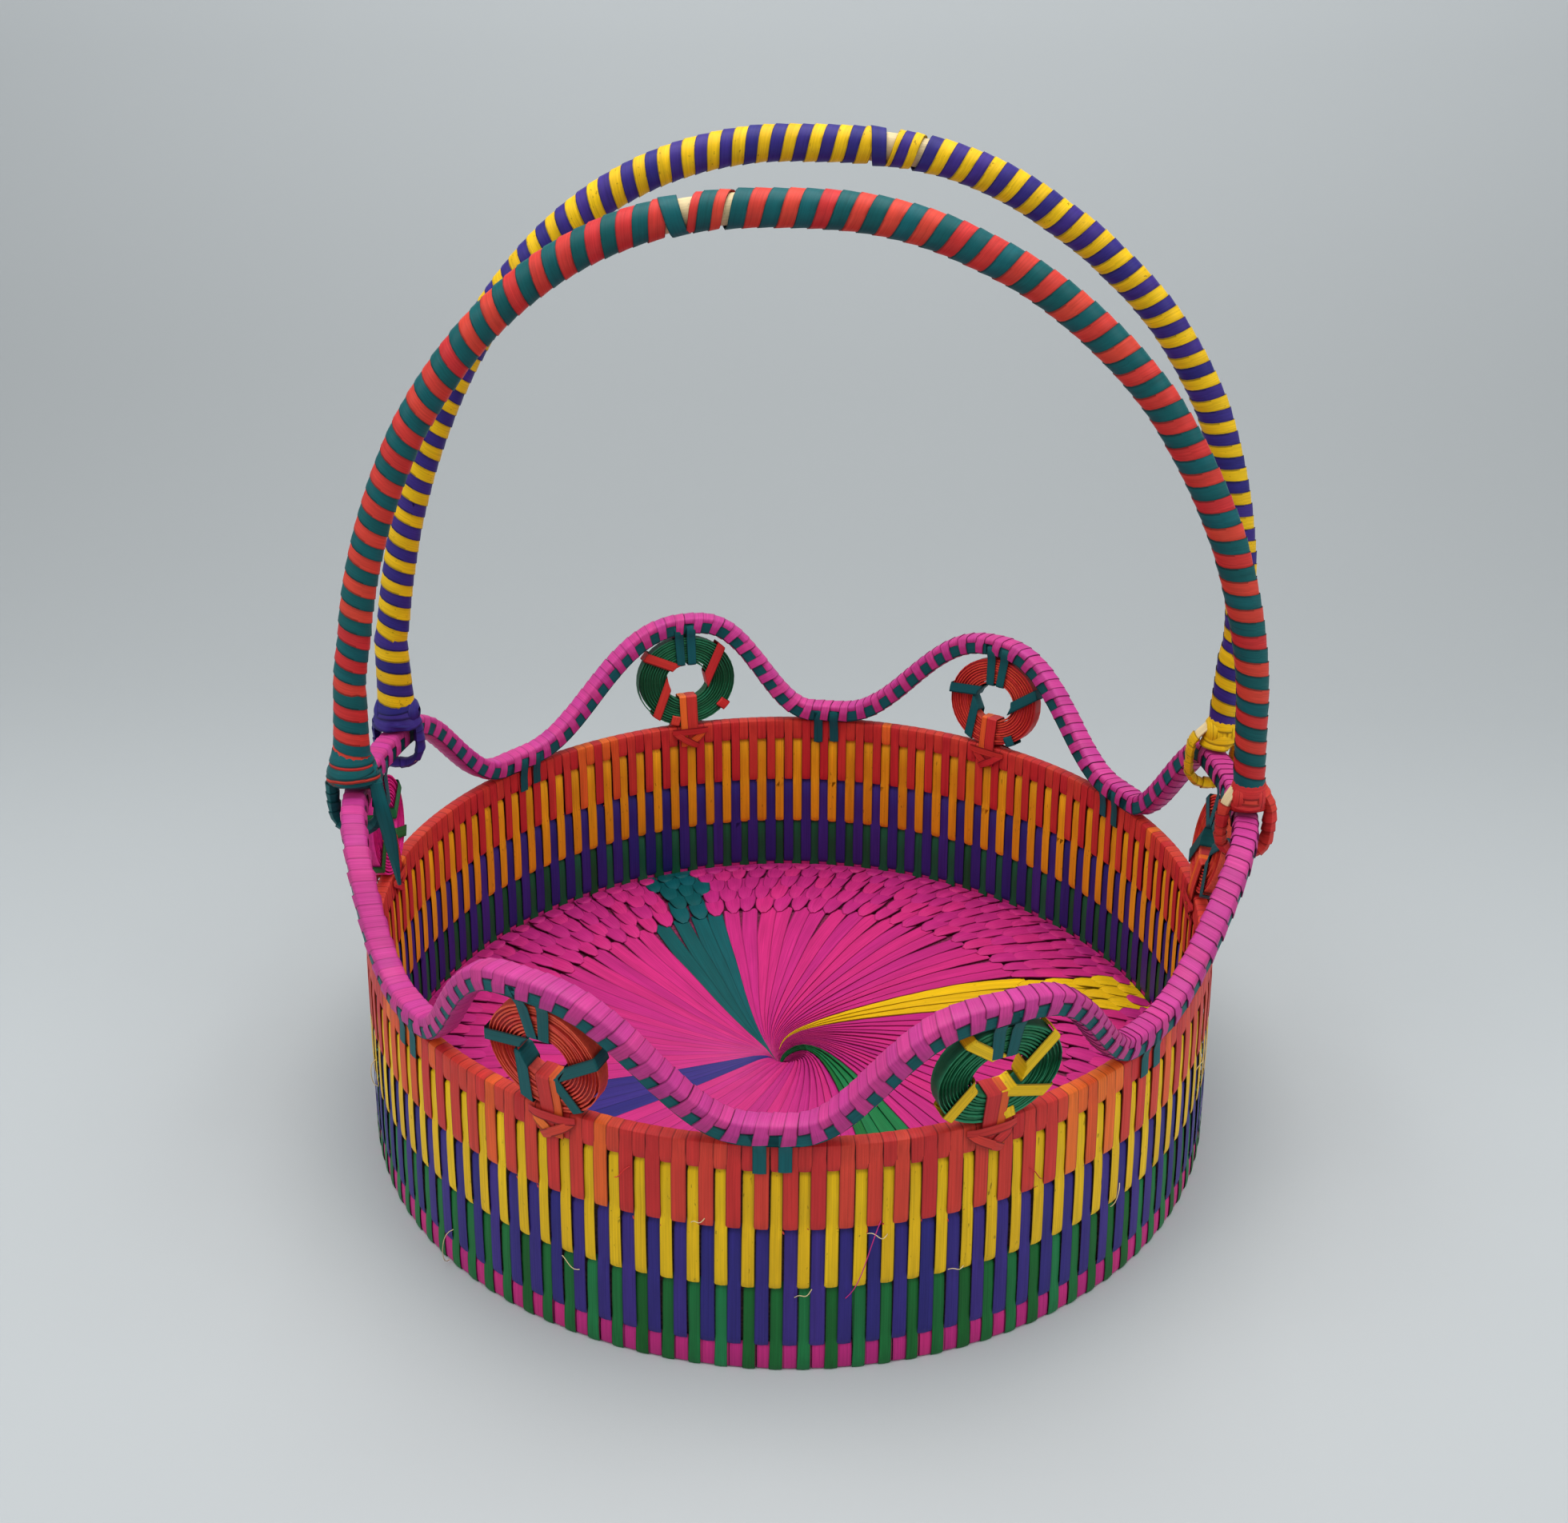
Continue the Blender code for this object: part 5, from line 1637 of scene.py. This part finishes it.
def tail(middle, dye):
    """A loose end that hangs down inside the basket, narrowing to a point."""
    share = np.linspace(0, 1, len(STRAND_TURNS))
    drop = TAIL_DROP + TAIL_LENGTH * share
    aside, forward, widths = (np.interp(share, *shape) * MM
                              for shape in (TAIL_ASIDE, TAIL_FORWARD, TAIL_WIDTHS))

    def place(across, row):
        x = middle.x + aside[row] + across * widths[row] / 2
        y = middle.y + forward[row] - TAIL_CROWN * (1 - across ** 2)
        return np.stack([x, y, middle.z - drop[row]], axis=1)

    return Strip(place, TAIL_BREADTH, TAIL_LENGTH, dye, rng.random())


# Each eye: its strip, and how far from its inner shoulder the bare splint shows
STRIP_START = 0.5 * MM
BARE = 14.5 * MM
EYES = {("front", "left"): ("teal", STRIP_START), ("front", "right"): ("red", BARE),
        ("rear", "left"): ("purple", STRIP_START), ("rear", "right"): ("yellow", BARE)}
SPLINT_STEPS = 60
SPLINT_SIDES = 12
SPLINT_GIRTH = 14 * MM
SPLINT_INSET = 0.45 * MM
SPLINT_END = 0.2 * MM
for (name, side), (dye, start) in EYES.items():
    middle = eye_middle(name, side)
    aside = FOOT_OFFSETS[name, side]
    rod = eye_rod(middle, aside, EYE_DROP[name])
    depth = STRAND_DEPTH[name]
    bm = new_bmesh()
    dyes = [dye, "cream"]
    tails = [tail(middle, dye)] if (name, side) == ("front", "left") else []
    knob = knob_wraps(middle + Vector((aside, 0, 0)), KNOB_HALF[f"{name}_{side}"], dye)
    strand = strand_wraps(rod, dye, depth, start, rod.length - STRIP_START)
    lay(bm, strand + knob + tails, len(STRAND_TURNS) - 1, dyes)
    stops = np.linspace(SPLINT_END, rod.length - SPLINT_END, SPLINT_STEPS + 1)
    splint = tube_strip(rod, stops, SPLINT_GIRTH, lambda turn: strand_reach(turn, depth, -SPLINT_INSET),
                        "cream")
    lay(bm, [splint], SPLINT_STEPS, dyes, across=SPLINT_SIDES)
    finish_piece(f"{name}_{side}_loop", bm, dyes, name + "_handle", [f"{name}_{side}_eye"])

# %% [markdown]
# ## Frayed ends and loose fibres
#
# Where a long red wrap is tucked in, threads of it cling to the yellow stitch beside it. A few fine
# fibres have come loose from the wall and the border, as on any hand-made basket.

# %% Threads at the ends of the red wraps
frays = random.Random(5)
FRAY_CHANCE = 0.55
FRAY_LIFT = PROUD + CROWN + 0.15 * MM
FRAY_WIDTHS = (0.15, 0.5, 0.4, 0.1)
FRAY_THICKNESS = 0.12 * MM


def fray(angle, face):
    """A short slanted thread, pointed at both ends, across the edge of a yellow stitch."""
    count = len(FRAY_WIDTHS)
    depths = FOOT[1] + (frays.uniform(-1.6, 0.4) + np.linspace(0, frays.uniform(0.6, 2.0), count)) * MM
    path = np.array([(wall_radius(depth, face) + face * (bundle(depth) + FRAY_LIFT), RIM_TOP - depth)
                     for depth in (depths[::-1] if face > 0 else depths)])
    edge = frays.choice((-1, 1)) * (STITCH_WIDTH["yellow"] / 2 - frays.uniform(0, 0.7) * MM)
    drifts = edge + np.linspace(0, frays.uniform(-1.1, 1.1), count) * MM
    widths = np.array(FRAY_WIDTHS) * frays.uniform(0.7, 1.5) * MM
    return wall_strip(angle, path, widths, drifts, "red", frays.random(), crown=0)


threads = [fray((column + 0.5) * PITCH, face) for face in (1, -1) for column in range(PAIRS)
           if frays.random() < FRAY_CHANCE]
bm = new_bmesh()
lay(bm, threads, len(FRAY_WIDTHS) - 1, ["red"])
finish_piece("frayed_ends", bm, ["red"], "basket", [], thickness=FRAY_THICKNESS)
print("threads:", len(threads))

# %% Loose fibres
FIBRE_RADIUS = 0.16 * MM
FIBRE_STEPS = 12
FIBRE_SIDES = 4
FIBRE_GIRTH = 1 * MM
# How far a fibre starts off the wall, and how far it stands out and sags, as shares of its bow
FIBRE_OFF = 0.1
BOW_OUT_SHARE = 0.5
BOW_SAG_SHARE = 0.3
# Each fibre: direction in degrees, depth below the rim, run along the wall, drop and bow, in mm
FIBRES = (
    (273.5, 53, 5, -3, 2.5, "cream"), (281.5, 31, 6, 1, 3.0, "cream"), (283.0, 27, -10, 27, 5.0, "magenta"),
    (291.0, 49, 5, 0, 1.5, "cream"), (262.0, 28, 4, -2, 2.0, "cream"), (246.0, 52, 6, 3, 2.0, "cream"),
    (228.0, 66, -3, 14, 7.0, "cream"), (301.0, 20, 5, 6, 1.5, "red"), (316.0, 44, -4, 7, 2.0, "cream"),
    (203.0, 40, 3, 9, 4.0, "cream"), (337.0, 33, 4, -5, 3.0, "cream"), (255.0, 12, -5, 5, 1.5, "red"),
)


def fibre(degrees, depth, run, drop, bow, dye):
    """A fine curl that leaves the wall in the middle and comes back to it."""
    points = []
    for share in np.linspace(0, 1, FIBRE_STEPS + 1):
        at = (depth + drop * share) * MM
        turn = math.radians(degrees) + run * MM * share / RIM_RADIUS
        off = FIBRE_OFF + bow * math.sin(math.pi * share) * BOW_OUT_SHARE
        radius = wall_radius(at, 1) + PROUD + off * MM
        sag = bow * math.sin(2 * math.pi * share) * BOW_SAG_SHARE * MM
        points.append((radius * math.cos(turn), radius * math.sin(turn), RIM_TOP - at + sag))
    rod = Rod(points, (math.cos(math.radians(degrees)), math.sin(math.radians(degrees)), 0))
    stops = np.linspace(0, rod.length, FIBRE_STEPS + 1)
    return tube_strip(rod, stops, FIBRE_GIRTH, FIBRE_RADIUS, dye, shade=frays.random())


bm = new_bmesh()
dyes = ["red", "cream", "magenta"]
lay(bm, [fibre(*values) for values in FIBRES], FIBRE_STEPS, dyes, across=FIBRE_SIDES)
finish_piece("loose_fibres", bm, dyes, "basket", [], thickness=0)

# %% [markdown]
# ## Floor, lights and the last lines
#
# The basket stood in a light tent: a pale grey sweep and soft light from all sides, most of it from
# above. One curved sheet makes the ground and the background, with painted shade behind the basket.
# Three large area lamps and a pale world light the object at a plain level, so that each dye renders
# about as it is written.

# %% The pale sweep
SWEEP_WIDTH = 8.0
SWEEP_FRONT = -2.2
SWEEP_BACK = 1.05
SWEEP_HEIGHT = 4.0
SWEEP_BEND = 0.7
BEND_STEPS = 24


def sweep_profile():
    """The ground from the front, a wide bend, and the background up to its top."""
    bend = [Vector((0, SWEEP_BACK - SWEEP_BEND * (1 - math.sin(turn)), SWEEP_BEND * (1 - math.cos(turn))))
            for turn in np.linspace(0, math.pi / 2, BEND_STEPS)]
    return [Vector((0, SWEEP_FRONT, 0))] + bend + [Vector((0, SWEEP_BACK, SWEEP_HEIGHT))]


# Painted shade on the sheet: how light it is painted at distances behind the basket, in m, in place
# of the tent's uneven light, which left the sheet darkest where it begins to rise
SHEET_PAINTED_SHADE = ((0.0, 0.88), (0.30, 0.71), (0.70, 0.62), (0.93, 0.78), (1.05, 1.0))
SHEET_COLOUR = (0.50, 0.530, 0.540, 1)
SHEET_ROUGHNESS = 0.75
CLOUDS_ON_SHEET = 2.0
SHEET_CONTRAST = 0.02


def sweep_material():
    material = bpy.data.materials.new("pale_sweep")
    material.use_nodes = True
    tree = material.node_tree
    shader = tree.nodes["Principled BSDF"]
    shader.inputs["Roughness"].default_value = SHEET_ROUGHNESS
    place = tree.nodes.new("ShaderNodeTexCoord")
    clouds = tree.nodes.new("ShaderNodeTexNoise")
    clouds.inputs["Scale"].default_value = CLOUDS_ON_SHEET
    link(tree, place.outputs["Object"], clouds.inputs["Vector"])
    apart = tree.nodes.new("ShaderNodeSeparateXYZ")
    link(tree, place.outputs["Object"], apart.inputs["Vector"])
    # Painted shade: the sheet is painted darker behind the basket, most where it begins to rise
    levels = tree.nodes.new("ShaderNodeValToRGB")
    levels.color_ramp.interpolation = "B_SPLINE"
    for step, (distance, level) in enumerate(SHEET_PAINTED_SHADE):
        share = distance / SWEEP_BACK
        stop = levels.color_ramp.elements[step] if step < 2 else levels.color_ramp.elements.new(share)
        stop.position = share
        stop.color = (level, level, level, 1)
    behind = tree.nodes.new("ShaderNodeMath")
    behind.operation = "DIVIDE"
    link(tree, apart.outputs["Y"], behind.inputs[0])
    behind.inputs[1].default_value = SWEEP_BACK
    link(tree, behind.outputs["Value"], levels.inputs["Fac"])
    cloudy = remap(tree, clouds.outputs["Fac"], 1 - SHEET_CONTRAST, 1 + SHEET_CONTRAST)
    grey = tree.nodes.new("ShaderNodeHueSaturation")
    grey.inputs["Color"].default_value = SHEET_COLOUR
    link(tree, times(tree, levels.outputs["Color"], cloudy), grey.inputs["Value"])
    link(tree, grey.outputs["Color"], shader.inputs["Base Color"])
    return material


bm = bmesh.new()
line = [bm.verts.new(point - Vector((SWEEP_WIDTH / 2, 0, 0))) for point in sweep_profile()]
edges = [bm.edges.new(pair) for pair in zip(line, line[1:])]
drawn = bmesh.ops.extrude_edge_only(bm, edges=edges)
moved = [item for item in drawn["geom"] if isinstance(item, bmesh.types.BMVert)]
bmesh.ops.translate(bm, verts=moved, vec=(SWEEP_WIDTH, 0, 0))
bmesh.ops.recalc_face_normals(bm, faces=bm.faces[:])
sweep_mesh = bpy.data.meshes.new("sweep")
bm.to_mesh(sweep_mesh)
bm.free()
sweep_mesh.shade_smooth()
sweep_mesh.materials.append(sweep_material())
sweep = bpy.data.objects.new("sweep", sweep_mesh)
bpy.context.scene.collection.objects.link(sweep)
sweep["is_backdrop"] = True
print("sweep faces:", len(sweep_mesh.polygons))

# %% Soft lamps
LAMPS = (
    # name, place in m, size in m, power in W
    ("top_lamp", (0.0, 0.0, 1.30), 1.2, 17.0),
    ("left_lamp", (-1.15, -0.55, 0.85), 0.9, 5.0),
    ("right_lamp", (1.15, -0.45, 0.85), 0.9, 5.0),
)
AIM = Vector((0, 0, 0.1))
TENT_COLOUR = (0.93, 0.96, 1.0, 1)
TENT_STRENGTH = 0.48
for name, place, size, power in LAMPS:
    lamp_data = bpy.data.lights.new(name, "AREA")
    lamp_data.size = size
    lamp_data.energy = power
    lamp = bpy.data.objects.new(name, lamp_data)
    lamp.location = place
    lamp.rotation_euler = (AIM - lamp.location).to_track_quat("-Z", "Y").to_euler()
    bpy.context.scene.collection.objects.link(lamp)

world = bpy.data.worlds.new("tent")
world.use_nodes = True
world.node_tree.nodes["Background"].inputs["Color"].default_value = TENT_COLOUR
world.node_tree.nodes["Background"].inputs["Strength"].default_value = TENT_STRENGTH
bpy.context.scene.world = world
bpy.context.scene.view_settings.view_transform = "Standard"
print("lamps:", len(LAMPS))

# %% The sizes beside those of the solids, and the end
seen_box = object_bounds()
for axis, name in enumerate("xyz"):
    print(name, "from", round(seen_box[0][axis] / MM, 1), "to", round(seen_box[1][axis] / MM, 1),
          "the solids from", round(cad_box[0][axis] / MM, 1), "to", round(cad_box[1][axis] / MM, 1))
